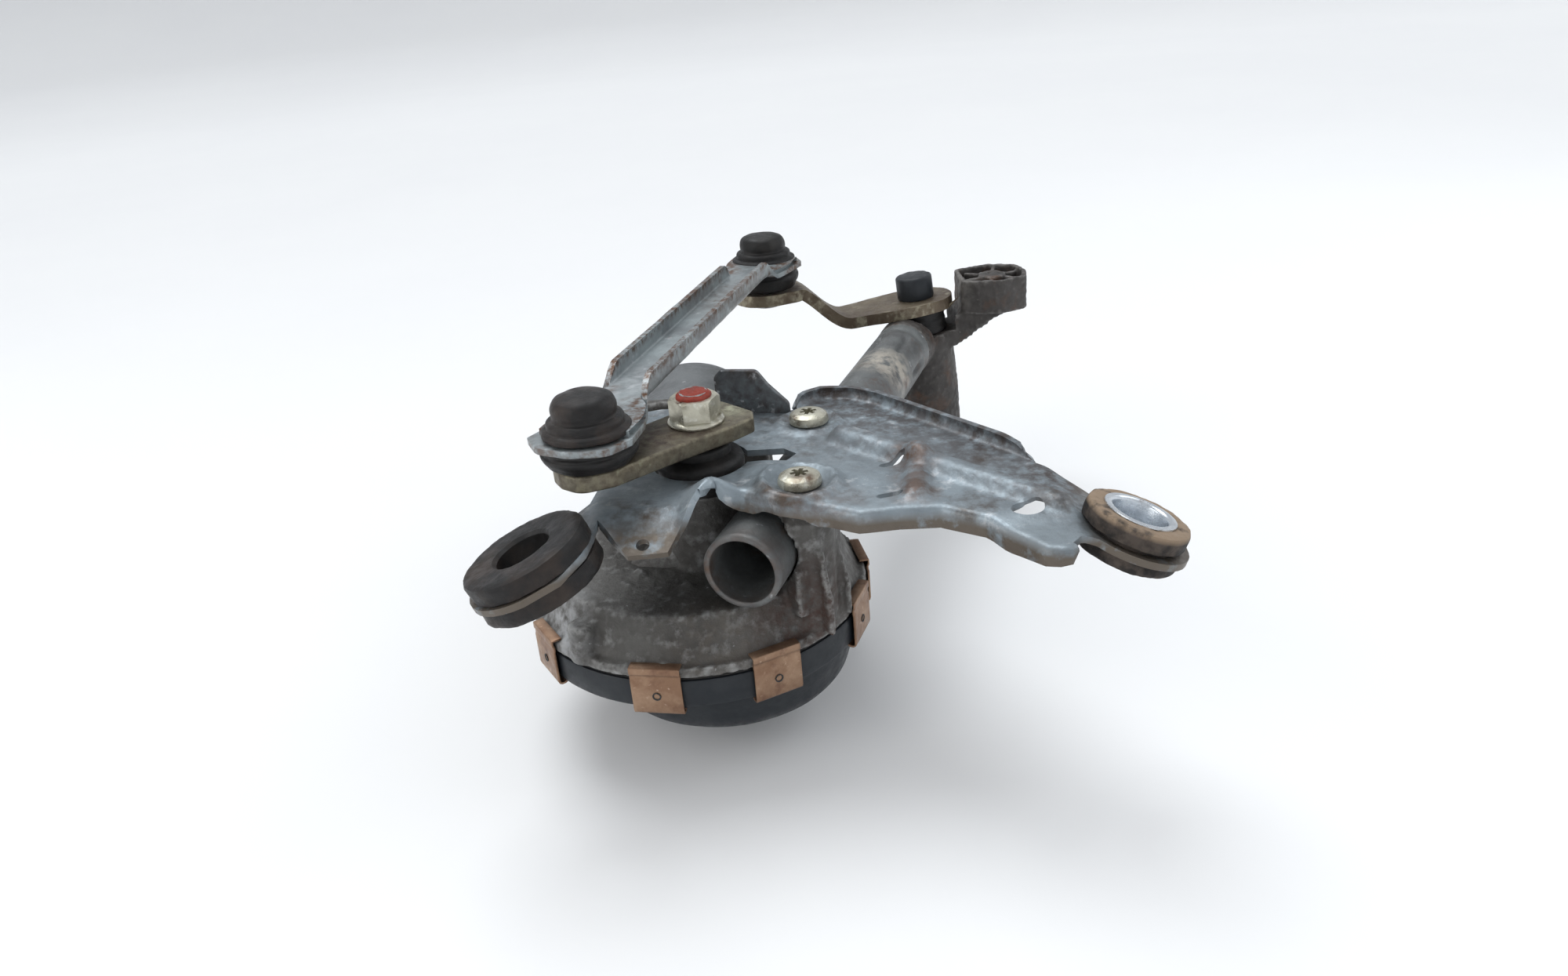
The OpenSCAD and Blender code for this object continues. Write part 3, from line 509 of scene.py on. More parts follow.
def sheet(outer, holes, height, step, flange=None, roll=2.2):
    """A pressed sheet's top surface: outline, holes, height at each point and turned-up or -down rims."""
    outer = resample(outer, step)
    holes = [resample(h, step / 2) for h in holes]
    loops = [outer] + holes
    points, edges = [], []
    for loop in loops:
        base = len(points)
        points += loop
        edges += [(base + i, base + (i + 1) % len(loop)) for i in range(len(loop))]
    rims = kdtree.KDTree(len(points))
    for i, q in enumerate(points):
        rims.insert((q[0], q[1], 0), i)
    rims.balance()
    xs, ys = [p[0] for p in outer], [p[1] for p in outer]
    row, y = 0, min(ys)
    while y < max(ys):
        x = min(xs) + (step / 2 if row % 2 else 0)
        while x < max(xs):
            if rims.find((x, y, 0))[2] > 0.55 * step:
                if inside(x, y, outer) and not any(inside(x, y, h) for h in holes):
                    points.append((x, y))
            x += step
        row, y = row + 1, y + step * 0.866
    vs, _, fs, orig, _, _ = geometry.delaunay_2d_cdt([Vector(p) for p in points], edges, [], 0, 1e-4)
    faces = []
    for f in fs:
        c = sum((vs[i] for i in f), Vector((0, 0))) / len(f)
        if inside(c.x, c.y, outer) and not any(inside(c.x, c.y, h) for h in holes):
            faces.append(tuple(f))
    verts = [(v.x, v.y, height(v.x, v.y)) for v in vs]
    if flange:
        to_new = {o: i for i, os in enumerate(orig) for o in os}
        n = len(outer)
        rings = [[to_new[i] for i in range(n)]]
        tall = [flange(*p) for p in outer]
        steps = [(math.radians(a), 0)
                 for a in (22, 45, 68, 90)] + [(math.radians(90), 0.5), (math.radians(90), 1)]
        for angle, down in steps:
            ring = []
            for i, (x, y) in enumerate(outer):
                t = Vector(outer[(i + 1) % n]) - Vector(outer[i - 1])
                out = Vector((t.y, -t.x)).normalized()
                h, sign = abs(tall[i]), (1 if tall[i] > 0 else -1)
                r = min(roll, h)
                z = sign * (r * (1 - math.cos(angle)) + down * max(h - r, 0.0))
                off = r * math.sin(angle)
                ring.append(len(verts))
                verts.append((x + out.x * off, y + out.y * off, height(x, y) + z))
            rings.append(ring)
        for a, b in zip(rings, rings[1:]):
            for i in range(n):
                j = (i + 1) % n
                if abs(tall[i]) > 0.3 and abs(tall[j]) > 0.3:
                    faces.append((a[i], b[i], b[j], a[j]))
    used = sorted({i for f in faces for i in f})
    index = {o: k for k, o in enumerate(used)}
    return [verts[i] for i in used], [tuple(index[i] for i in f) for f in faces]


def loft(sections):
    """Skins a row of sections with the same number of points."""
    m = len(sections[0])
    verts = [p for s in sections for p in s]
    faces = [(k * m + i, k * m + i + 1, (k + 1) * m + i + 1, (k + 1) * m + i)
             for k in range(len(sections) - 1) for i in range(m - 1)]
    return verts, faces


# ---------- bracket ----------

EAR_DROOP = 21
DROOP = math.tan(math.radians(EAR_DROOP))
EAR_L, EAR_R = Vector((-43, -43.5, -6.3)), Vector((108.5, -53.5, -5.8))
SQUASH = math.cos(math.radians(EAR_DROOP))
BEAD = (Vector((42, 7)), Vector((91.5, -46.5)))


def bracket_height(x, y):
    """Height of the plate's top face, with its bead, pads, folds and drooping ears."""
    z = 0.0
    z -= max(0.0, x - 93.4) * DROOP * ease(x, 91, 97)
    z -= max(0.0, -26.4 - x) * DROOP * ease(-x, 24, 30) if y < 0 else 0
    # Bead with a round start
    d = BEAD[1] - BEAD[0]
    t = max(0.0, min(1.0, (Vector((x, y)) - BEAD[0]).dot(d) / d.length_squared))
    away = (Vector((x, y)) - BEAD[0] - d * t).length
    wide = 4.3 - 0.8 * t
    z += 3.9 * (1 - 0.3 * t) * math.exp(-(away / wide) ** 4)
    # Wave at the front edge and the folded pocket left of it
    front = ease(-y, 14, 25)
    z += 5.5 * front * math.exp(-((x - 3.5) / 6.0) ** 2)
    z += 1.2 * front * math.exp(-((x - 17) / 6.0) ** 2)
    z -= ease(x, -28, -20) * ease(-x, 0.5, 5) * max(0.0, -y - 29) * 0.42
    # Half-round pad at the front screw, bosses at the slots, step before the right ear
    z += 2.0 * ease(-(Vector((x, y)) - SCREWS[0].xy).length, -12.5, -10.5)
    z -= 1.8 * ease(-(Vector((x, y)) - SCREWS[0].xy).length, -9.5, -8)
    z += 1.1 * ease(-(Vector((x, y)) - SCREWS[1].xy).length, -11.5, -9)
    z -= 0.9 * ease(-(Vector((x, y)) - SCREWS[1].xy).length, -8.5, -7.5)
    # Raised bridge along the right of the two slots
    along = ease(y, -40, -35) * ease(-y, 8, 13)
    z += 2.4 * along * math.exp(-((x - 60.5 - 0.16 * (y + 14)) / 3.4) ** 4)
    z += 2.0 * math.exp(-((x - 18) / 5.0) ** 2 - ((y + 13) / 6.5) ** 2)
    z -= 1.2 * ease(x, 66, 72) * ease(-y, 50, 56)
    return z - 0.15


def bracket_flange(x, y):
    """Height of the rim at an edge point: down along the front, up along the rear."""
    if y < -20 and -1.5 < x < 92:
        return -6 * ease(x, -1.5, 8) * (1 - 0.2 * ease(x, 78, 88)) * (1 - ease(x, 88, 92))
    if x > 27.5 and y > 28 - (x - 33) * 1.42 and y > -37:
        return 3.4 * ease(x, 27.5, 34) * (1 - ease(-y, 8, 24))
    return 0.0


def slot_loop(x, y, half, r, angle):
    """A slot with round ends."""
    c, s = math.cos(math.radians(angle)), math.sin(math.radians(angle))
    pts = []
    for k in range(24):
        a = 2 * math.pi * k / 24
        px = r * math.cos(a) + (half - r) * (1 if math.cos(a) >= 0 else -1)
        py = r * math.sin(a)
        pts.append((x + px * c - py * s, y + px * s + py * c))
    return pts


front = [(-26.4, -33), (-18.5, -43.5), (-8, -43.5), (-1.5, -31), (4, -22.8), (13, -24.5), (22, -31.5),
         (35, -35.5),
         (42, -40.5), (52, -40.0), (63, -41), (74, -49), (81, -59), (85, -65.5), (89, -67), (93, -63),
         (96, -62.5)]
ear_r = [(EAR_R.x + 14.6 * SQUASH * math.cos(a), EAR_R.y + 14.6 * math.sin(a))
         for a in [math.radians(-142 + 10 * k) for k in range(26)]]
rear = [(101, -34.5), (93.4, -24), (73, 4), (52.5, 32), (46, 37.5), (38, 39.5), (29.5, 34), (26.6, 33),
        (5.7, 38.3),
        (-6, 43), (-14, 44), (-26, 41), (-32, 34), (-34, 22), (-31, 8), (-27, -6), (-30, -20), (-37, -26)]
ear_l = [(EAR_L.x + 18.1 * SQUASH * math.cos(a), EAR_L.y + 18.1 * math.sin(a))
         for a in [math.radians(80 + 10 * k) for k in range(20)]]
outline = front + ear_r + rear + ear_l + [(-34, -59), (-28.5, -50), (-26.8, -40)]
seal_hole = [(14 * math.cos(math.radians(a)), 14 * math.sin(math.radians(a))) for a in range(18, 346, 9)]
sheet_holes = [
    seal_hole + [(24.5, -5.5), (27.5, -1), (24, 3.5)],
    circle(-14.5, -40.5, 1.8, 20), circle(83.5, -48, 3.4, 28, 1.25),
    slot_loop(53.5, -14, 3.8, 1.2, 15), slot_loop(50.5, -33.5, 3.6, 1.2, 12),
    circle(EAR_L.x, EAR_L.y, 13, 48, SQUASH), circle(EAR_R.x, EAR_R.y, 11.4, 48, SQUASH),
]
bracket = piece("pressed_bracket", [sheet(outline, sheet_holes, bracket_height, 1.7, bracket_flange)],
                ZINC, "frame", ["bracket_plate"])
modify(bracket, "SOLIDIFY", thickness=1.9 * MM, offset=-1.0)
bake(bracket)
sharpen(bracket, 50)
TAB = (Vector((5.7, 38.5, 0)), Vector((27, 33, 0)))
tab_dir = (TAB[1] - TAB[0]).normalized()
tab_at = Matrix(((tab_dir.x, 0, tab_dir.y, TAB[0].x), (tab_dir.y, 0, -tab_dir.x, TAB[0].y), (0, 1, 0, 0),
                 (0, 0, 0, 1)))
tab_shape = rounded([(-1, -1.8), (22.5, -1.8), (22.3, 3.0), (16.0, 9.2), (12.6, 13.8), (0.8, 13.8),
                     (-1.2, 11.5)],
                    [0, 0, 2.5, 5, 2.5, 1.8, 2])
tab = piece("guard_tab", [prism(tab_shape, 0, 2)], GUARD, "frame", (), tab_at)
modify(tab, "BEVEL", width=0.45 * MM, segments=3, limit_method="ANGLE", angle_limit=math.radians(60))
sharpen(bake(tab), 40)

# ---------- body mounts ----------


def mount(name, centre, side, r, half, bore, neck, mat, node_name, dent):
    """A two-faced rubber body mount in its drooping ear."""
    tilt = go(*centre) @ turn("Y", side * EAR_DROOP) @ go(0, 0, -1)
    top = [(bore, half - 0.9), (bore + 0.9, half), (r - 1.3, half), (r - 0.4, half - 0.4), (r, half - 1.3),
           (r - 0.1, 1.15), (neck, 1.1)]
    profile = resample(top + [(x, -z) for x, z in top[::-1]], 1.1)
    obj = piece(name, [lathe(profile + [profile[0]], 110)], mat, "frame", [node_name], tilt, weld=True)
    push(obj, lambda p: noise.noise(p * 0.22) * dent + noise.noise(p * 0.9 + Vector((5, 1, 2))) * dent * 0.4)
    return sharpen(obj, 32)


mount("left_mount_rubber", EAR_L, -1, 17.3, 6.3, 7.6, 12.9, WORN_RUBBER, "left_grommet", 0.28)
mount("right_mount_rubber", EAR_R, 1, 13.3, 5.8, 8.3, 11.4, TAN_RUBBER, "right_grommet", 0.28)
sleeve_tilt = go(*EAR_R) @ turn("Y", EAR_DROOP) @ go(0, 0, -1)
sleeve = [(7.2, -6.2), (7.2, 5.4), (7.5, 6.1), (8.3, 6.35), (9.3, 6.2), (9.35, 5.9), (8.4, 5.7), (8.15, 5.2),
          (8.15, -5.2), (8.4, -5.7), (9.35, -5.9), (9.3, -6.2), (7.2, -6.2)]
sharpen(piece("flared_sleeve", [lathe(sleeve, 90)], BRIGHT, "frame", ["right_sleeve"],
              sleeve_tilt, weld=True), 50)

# ---------- screws and nut ----------


def pan_screw(name, at, z_tip, instead=()):
    """A pan-head screw with a star recess."""
    head = [(0, z_tip), (2.4, z_tip), (2.95, z_tip + 0.8), (2.95, 0.0), (5.5, 0.02), (6.0, 0.5), (6.0, 1.7),
            (5.6, 2.7), (4.6, 3.35), (3.2, 3.6), (0, 3.65)]
    obj = piece(name, [lathe(head, 64)], PALE_ZINC, "frame", instead, go(at.x, at.y, 0),
                weld=True)
    cuts = [moved(box(-2.5, 2.5, -0.62, 0.62, 1.7, 6), go(at.x, at.y) @ turn("Z", a + 12))
            for a in (0, 60, 120)]
    for i, cut in enumerate(cuts):
        tool = piece("tool", [cut], PALE_ZINC, "frame")
        modify(obj, "BOOLEAN", object=tool, operation="DIFFERENCE", solver="EXACT").name = f"cut{i}"
    bake(obj)
    for tool in [o for o in bpy.data.objects if o.name.startswith("tool")]:
        bpy.data.objects.remove(tool)
    return sharpen(obj, 35)


pan_screw("front_bracket_screw", SCREWS[0], -9)
pan_screw("rear_bracket_screw", SCREWS[1], -36)
pan_screw("left_bracket_screw", SCREWS[2], -12, ["bracket_screws"])

SEAT = 12.05
nut_side = [(4.2, SEAT), (7.9, SEAT), (8.15, SEAT + 0.4), (8.0, SEAT + 0.9), (6.8, SEAT + 1.5),
            (4.2, SEAT + 1.5)]
hexagon = [(7.35 * math.cos(math.radians(a)), 7.35 * math.sin(math.radians(a))) for a in range(0, 360, 60)]
nut = piece("flange_nut", [prism(hexagon, SEAT + 1.2, SEAT + 7.6)], PALE_ZINC, "crank",
            ["crank_nut"], turn("Z", 6))
chamfer = piece("tool", [lathe([(0, 0), (9, 0), (9, SEAT + 5.6), (6.5, SEAT + 7.65), (0, SEAT + 7.65)], 72)],
                PALE_ZINC, "crank")
bore = piece("tool", [tube_mesh(4.1, 4.1, 0, 40)], PALE_ZINC, "crank")
modify(nut, "BOOLEAN", object=chamfer, operation="INTERSECT", solver="EXACT").name = "chamfer"
modify(nut, "BOOLEAN", object=bore, operation="DIFFERENCE", solver="EXACT").name = "bore"
bake(nut)
for tool in (chamfer, bore):
    bpy.data.objects.remove(tool)
sharpen(nut, 25)
sharpen(piece("nut_flange", [lathe(nut_side + [nut_side[0]], 72)], PALE_ZINC, "crank",
              weld=True), 50)
threads = []
z = SEAT + 1.0
while z < 20.0:
    threads += [(3.7, z), (3.98, z + 0.4), (3.98, z + 0.6), (3.7, z + 1.0)]
    z += 1.25
shaft_end = [(0, 6.6), (3.9, 6.6)] + [(r, min(zz, 20.2)) for r, zz in threads] + [(3.9, 20.2)]
piece("threaded_shaft_end", [lathe(shaft_end + [(0, 20.2)], 48)], STEEL, "crank", weld=True)
blob = curve([(0, 21.5), (2.0, 21.4), (3.8, 21.0), (4.9, 20.3), (5.1, 19.6)], 5)
roughen(piece("paint_mark", [lathe([(p[0], p[1]) for p in blob], 40)], RED_PAINT, "crank",
              weld=True),
        0.3, 0.7)

# ---------- boots ----------


def boot_upper(name, at, body, mat, instead, seed):
    """Domed cap of a ball joint, above the link."""
    z0 = 20.55
    shape = curve([(7.6, z0), (11.4, z0), (12.0, z0 + 0.5), (11.9, z0 + 1.5), (11.1, z0 + 2.1),
                   (10.5, z0 + 2.4),
                   (10.45, z0 + 3.0), (10.3, z0 + 3.8), (9.6, z0 + 4.4), (8.9, z0 + 4.7), (8.65, z0 + 5.3),
                   (8.75, z0 + 6.3), (8.65, z0 + 7.6), (8.1, z0 + 9.0), (7.0, z0 + 9.9), (5.0, z0 + 10.45),
                   (2.5, z0 + 10.7), (0, z0 + 10.75)], 5)
    obj = piece(name, [lathe([(max(p[0], 0), p[1]) for p in shape], 96)], mat, body, instead,
                go(at.x, at.y), weld=True)
    return roughen(obj, 0.22, 0.25, seed)


def boot_lower(name, at, body, mat, z_low, instead, seed):
    """Bellied skirt of a ball joint, under the link."""
    z1 = 18.4
    h = z1 - z_low
    shape = curve([(4.3, z_low + 0.05), (10.6, z_low + 0.05), (12.2, z_low + 0.25 * h),
                   (13.0, z_low + 0.45 * h),
                   (13.15, z_low + 0.62 * h), (12.7, z_low + 0.72 * h), (12.75, z_low + 0.8 * h),
                   (13.0, z_low + 0.9 * h), (12.4, z1), (7.8, z1)], 5)
    obj = piece(name, [lathe([(p[0], p[1]) for p in shape] + [(4.3, z1 - 1.5), (4.3, z_low + 0.05)], 96)],
                mat, body, instead, go(at.x, at.y), weld=True)
    return roughen(obj, 0.18, 0.25, seed)


boot_upper("near_boot_cap", NEAR, "link", WORN_RUBBER, ["near_upper_boot"], 1.0)
boot_upper("far_boot_cap", FAR, "link", RUBBER, ["far_upper_boot"], 4.0)
boot_lower("near_boot_skirt", NEAR, "link", RUBBER, 12.35, ["near_lower_boot"], 2.0)
boot_lower("far_boot_skirt", FAR, "link", RUBBER, 10.5, ["far_lower_boot"], 5.0)

# ---------- link rod ----------

LINK_DIR = (FAR - NEAR).xy.normalized()
LINK_LEN = (FAR - NEAR).xy.length
LINK_AT = Matrix(((LINK_DIR.y, LINK_DIR.x, 0, NEAR.x), (-LINK_DIR.x, LINK_DIR.y, 0, NEAR.y), (0, 0, 1, 0),
                  (0, 0, 0, 1)))


def link_width(y):
    """Half width of the channel, which widens towards both eyes."""
    if y < 27:
        return 12.9 - 4.9 * ease(y, 6, 27)
    if y > LINK_LEN - 27:
        return 8 + 4.8 * ease(y, LINK_LEN - 27, LINK_LEN - 5)
    return 8.0


def link_rim(y, left):
    """Height of the channel's wall above its web."""
    start, end = (26, LINK_LEN - 20) if left else (17, LINK_LEN - 16)
    return 6.6 * ease(y, start, start + 13) * (1 - ease(y, end - 9, end)) + 0.02


sections = []
for k in range(121):
    y = -2 + (LINK_LEN + 4) * k / 120
    row = []
    for side in (-1, 1):
        w, h = link_width(y), link_rim(y, side < 0)
        r = min(2.4, h)
        wall = [(side * w, 20.0 + max(h, 0.0)), (side * w, 20.0 + r)]
        arc = [(side * (w - r + r * math.cos(math.radians(a))), 20.0 + r - r * math.sin(math.radians(a)))
               for a in (25, 50, 75, 90)]
        half = [wall[0], ((wall[0][0] + wall[1][0]) / 2, (wall[0][1] + wall[1][1]) / 2), wall[1]] + arc
        row += half if side < 0 else half[::-1]
    row = row[:7] + [(row[6][0] + (row[7][0] - row[6][0]) * t, 20.0 + 0.25 * math.sin(y * 0.09))
                     for t in (0.25, 0.5, 0.75)] \
        + row[7:]
    sections.append([(x, y, z) for x, z in row])
channel = piece("pressed_link", [loft(sections)], LINK, "link", ["link_rod"], LINK_AT)
modify(channel, "SOLIDIFY", thickness=1.7 * MM, offset=-1.0)
bake(channel)
sharpen(roughen(channel, 0.12, 0.12, 3.0), 45)


def end_plate(name, y0, points, radii):
    """Flat eye at one end of the link."""
    outline_pts = rounded(points, radii)
    part = sheet(outline_pts, [], lambda x, y: 20.0, 2.4)
    obj = piece(name, [part], LINK, "link", (), LINK_AT @ go(0, y0, 0))
    modify(obj, "SOLIDIFY", thickness=1.8 * MM, offset=-1.0)
    modify(obj, "BEVEL", width=0.3 * MM, segments=2, limit_method="ANGLE")
    return sharpen(bake(obj), 40)


end_plate("near_link_eye", 0,
          [(-13.2, 3), (-15.5, -4.5), (-10, -11), (0, -13.2), (10, -11), (13.8, -3), (13, 8),
                               (11, 14), (-11.5, 14)], [3, 1.2, 6, 8, 6, 2, 4, 2, 3])
end_plate("far_link_eye", LINK_LEN,
          [(-11, -14), (11, -14), (13.2, -4), (14.6, 2), (10, 9.5), (0, 13), (-10, 10.5),
                                     (-13, 0)], [2, 2, 3, 1.5, 6, 8, 6, 6])

# ---------- crank ----------

u = NEAR.xy.normalized()
CRANK_AT = Matrix(((u.x, -u.y, 0, 0), (u.y, u.x, 0, 0), (0, 0, 1, 0), (0, 0, 0, 1)))
arm = rounded([(-15.5, 6.5), (-12.5, 10.4), (-4, 11.2), (12, 10.4), (35, 10.4), (44, 7), (45.4, 0),
               (44, -7), (35, -10.4), (12, -10.4), (-4, -11.2), (-11.5, -10.6), (-15, -7)],
               [1.2, 1.5, 4, 6, 8, 6, 4, 6, 8, 6, 4, 1.5, 1.2])
crank = piece("forged_crank", [prism(arm, 7.05, 12)], OLIVE, "crank", ["crank_arm"], CRANK_AT)
modify(crank, "BEVEL", width=0.9 * MM, segments=4, limit_method="ANGLE", angle_limit=math.radians(50))
bake(crank)
sharpen(crank, 40)

# ---------- lever ----------

lever_dir = math.degrees(math.atan2(FAR.y - PIVOT.y, FAR.x - PIVOT.x))
lean_axis = Vector((0, 0, 1)).cross(SPINDLE_UP)
PIVOT_AT = (go(*PIVOT) @ Matrix.Rotation(lean_axis.length and math.asin(lean_axis.length), 4,
                                         lean_axis.normalized())
            @ go(0, 0, -BALL_LEVEL))
LEVER_AT = PIVOT_AT @ turn("Z", lever_dir)


def lever_height(x, _):
    """Top face of the lever: its hub, the S-shaped neck and the level disc under the ball."""
    return -2.0 + 16.1 * ease(x, 29, 49.5) - 0.087 * (60 - x) * ease(x, 46, 50)


lever_line = [(-8, -11.6), (4, -13.9), (16, -12.4), (26, -10.6), (36, -9.6), (46, -9.6), (52, -10.5),
              (60, -12.4),
              (68, -9.6), (72.3, 0), (68, 9.6), (60, 12.4), (52, 10.5), (46, 9.6), (36, 9.6), (26, 10.6),
              (16, 12.4), (4, 13.9), (-8, 11.6), (-13.6, 4.5), (-13.6, -4.5)]
lever_shape = [(p.x, p.y) for p in curve([(*p, 0) for p in lever_line + [lever_line[0]]], 4)][:-1]
lever = piece("pressed_lever", [sheet(lever_shape, [circle(0, 0, 5.1, 24)], lever_height, 1.5)], LEVER_ZINC,
              "lever", ["pivot_lever"], LEVER_AT)
modify(lever, "SOLIDIFY", thickness=4.3 * MM, offset=-1.0)
modify(lever, "BEVEL", width=0.6 * MM, segments=3, limit_method="ANGLE", angle_limit=math.radians(60))
bake(lever)
sharpen(roughen(lever, 0.2, 0.15, 7.0), 50)

cap_shape = [(0, 7.1), (6.4, 7.1), (7.0, 6.8), (7.3, 6.2), (7.3, -1.2), (7.1, -1.9), (5.2, -1.9),
             (5.2, 2.5), (0, 2.5)]
cap = piece("spindle_end_cap", [lathe([(a, b) for a, b in cap_shape], 72)], COVER, "lever",
            ["spindle_cap"], PIVOT_AT, weld=True)
sharpen(roughen(cap, 0.15, 0.5, 2.0), 40)
seal_shape = curve([(8.6, -15.9), (10.6, -15.8), (10.9, -14.5), (10.5, -12.8), (10.8, -11), (10.5, -9.4),
                    (10.9, -7.8), (10.4, -7.0), (8.6, -6.95)], 5)
roughen(piece("spindle_gaiter", [lathe([(p[0], p[1]) for p in seal_shape] + [(8.6, -15.9)], 72)], RUBBER,
              "frame", ["pivot_seal"], PIVOT_AT, weld=True), 0.3, 0.4, 4.0)


# ---------- castings ----------


def casting(name, parts, mat, instead, voxel, smooth, rough, seed, cuts=()):
    """Fuses overlapping parts in one skin, cuts the bores and softens the edges."""
    obj = piece(name, [parts[0]], mat, "frame", instead)
    bm = bmesh.new()
    bm.from_mesh(obj.data)
    for part in parts[1:]:
        helper = piece("tool", [part], mat, "frame")
        bm.from_mesh(helper.data)
        bpy.data.objects.remove(helper)
    bm.to_mesh(obj.data)
    bm.free()
    modify(obj, "REMESH", mode="VOXEL", voxel_size=voxel * MM, use_smooth_shade=True)
    bake(obj)
    for cut in cuts:
        tool = piece("tool", [cut], mat, "frame")
        modify(obj, "BOOLEAN", object=tool, operation="DIFFERENCE", solver="MANIFOLD")
        bake(obj)
        bpy.data.objects.remove(tool)
    modify(obj, "SMOOTH", factor=0.5, iterations=smooth)
    bake(obj)
    return roughen(obj, rough, 0.5, seed)


def ring_part(r, bore, z0, z1, n=64):
    return lathe([(bore, z0), (r, z0), (r, z1), (bore, z1), (bore, z0)], n)


CASE = Vector((-5, 6.5))


def frustum(x, y, r0, r1, z0, z1, n=96):
    return moved(tube_mesh(r0, r1, z0, z1, n), go(x, y))


def rib(x0, y0, x1, y1, half, z0, z1a, z1b):
    """An upright web whose top slopes from z1a to z1b."""
    d = Vector((x1 - x0, y1 - y0)).normalized()
    n = Vector((-d.y, d.x)) * half
    pts = [(x0, y0), (x1, y1)]
    verts = []
    for (x, y), top in zip(pts, (z1a, z1b)):
        verts += [(x + n.x, y + n.y, z0), (x - n.x, y - n.y, z0), (x - n.x, y - n.y, top),
                  (x + n.x, y + n.y, top)]
    faces = [(0, 1, 2, 3), (7, 6, 5, 4), (0, 4, 5, 1), (1, 5, 6, 2), (2, 6, 7, 3), (3, 7, 4, 0)]
    return verts, faces


TUBE_AT = turn("Z", -20.9) @ go(22.5, 0, -17.5)
ARMATURE_AT = go(-9, 0, -37)
# Stands a flat outline up, square to the armature
UPRIGHT = Matrix(((1, 0, 0, 0), (0, 0, 1, 0), (0, 1, 0, 0), (0, 0, 0, 1)))
housing_parts = [
    frustum(CASE.x, CASE.y, 49.6, 43.0, -44.9, -29.6),
    frustum(CASE.x, CASE.y, 51.0, 50.6, -44.95, -41.8),
    box(-37, 19, CASE.y, 62, -44.5, -29.5),
    box(-37, 19, 58, 70, -62, -11.5),
    moved(prism(rounded([(-29, -29), (29, -29), (29, 30), (-29, 30)], 5), 68.2, 72.9),
          ARMATURE_AT @ UPRIGHT),
    frustum(0, 0, 12.6, 10.3, -30, -7.3, 64),
    frustum(SCREWS[2].x, SCREWS[2].y, 8.6, 7.4, -30, -2.2, 48),
    frustum(SCREWS[0].x, SCREWS[0].y, 8.2, 7.0, -30, -2.2, 48),
    prism(rounded([(22, -30.5), (30.5, -30.5), (35.4, -25), (37.2, -17), (38.6, -11), (24, -9.5)], 2.5),
          -42, -8.5),
    rib(31, -30, 33.5, -33, 1.0, -42, -12, -30), rib(35, -20, 39.5, -21.5, 1.0, -42, -12, -32),
    rib(-44, -26, -20, -10, 1.6, -42, -42, -28),
    rib(-14, -42.5, -6, -20, 1.6, -42, -41, -28),
    rib(26, -32, 12, -12, 1.8, -36, -22, -14),
    frustum(-36, -29.5, 4.6, 4.0, -44, -33.0, 40),
    rib(-36, -29.5, -24, -16, 1.8, -44, -33.5, -29),
]
casting("cast_gear_case", housing_parts, CASTING, ["gear_housing"], 0.75, 5, 0.22, 1.0,
        [moved(tube_mesh(11.6, 11.6, -60, 140, 48), TUBE_AT @ turn("X", -90)),
         frustum(0, 0, 8.05, 8.05, -44, 0), frustum(CASE.x, CASE.y, 46.2, 40.6, -46, -32.4)])
lug = go(PIVOT.x, PIVOT.y)
lug_out = rounded([(18, -9), (24, -11.5), (33, -13.8), (44, -9), (45.8, 0), (44, 9), (33, 13.8), (24, 11.5),
                   (18, 9)],
                  [2, 2, 4, 3, 3, 3, 4, 2, 2])
lug_walls = [moved(prism(lug_out, -8, -5.5), lug)]
for i in range(len(lug_out)):
    (x0, y0), (x1, y1) = lug_out[i - 1], lug_out[i]
    if math.hypot(x1 - x0, y1 - y0) > 0.2:
        c = Vector((32, 0))
        p0 = c + (Vector((x0, y0)) - c) * 0.93
        p1 = c + (Vector((x1, y1)) - c) * 0.93
        d = (p1 - p0).normalized() * 0.5
        lug_walls.append(moved(rib(p0.x - d.x, p0.y - d.y, p1.x + d.x, p1.y + d.y, 0.95, -8, 5.6, 5.6), lug))
lug_walls += [moved(rib(32 - 12 * math.cos(a), -12 * math.sin(a), 32 + 12 * math.cos(a), 12 * math.sin(a),
                        0.8, -8, 4.6, 4.6), lug) for a in (0.35, 1.35, 2.55)]
lug_walls += [moved(ring_part(5.4, 3.2, -8, 5.0, 40), lug @ go(32, 0))]
arm_parts = [
    moved(tube_mesh(12.0, 13.0, -61.9, -40), PIVOT_AT), moved(tube_mesh(13.0, 12.8, -40.2, -16.1), PIVOT_AT),
    moved(tube_mesh(9.1, 9.1, 127, 161), TUBE_AT @ turn("X", -90)),
    moved(tube_mesh(11.0, 11.4, 149.5, 163), TUBE_AT @ turn("X", -90)),
]
# Arm that curves up from the bearing tube to the lug
for x in range(2, 34, 2):
    wide = 8.6 + 2.0 * ease(x, 16, 30)
    arm_parts.append(moved(box(x - 0.4, x + 2.4, -wide, wide, -22 + 13.5 * ease(x, 10, 36),
                               -13 + 7.2 * ease(x, 6, 24)), lug))
casting("cast_pivot_case", arm_parts + lug_walls, DARK_CAST, ["pivot_housing"], 0.55, 5,
        0.25, 6.0, [moved(tube_mesh(8.05, 8.05, -63, -15), PIVOT_AT),
                    moved(tube_mesh(15.8, 15.8, -15.95, 12), PIVOT_AT)])

# ---------- cover, seal, clips ----------

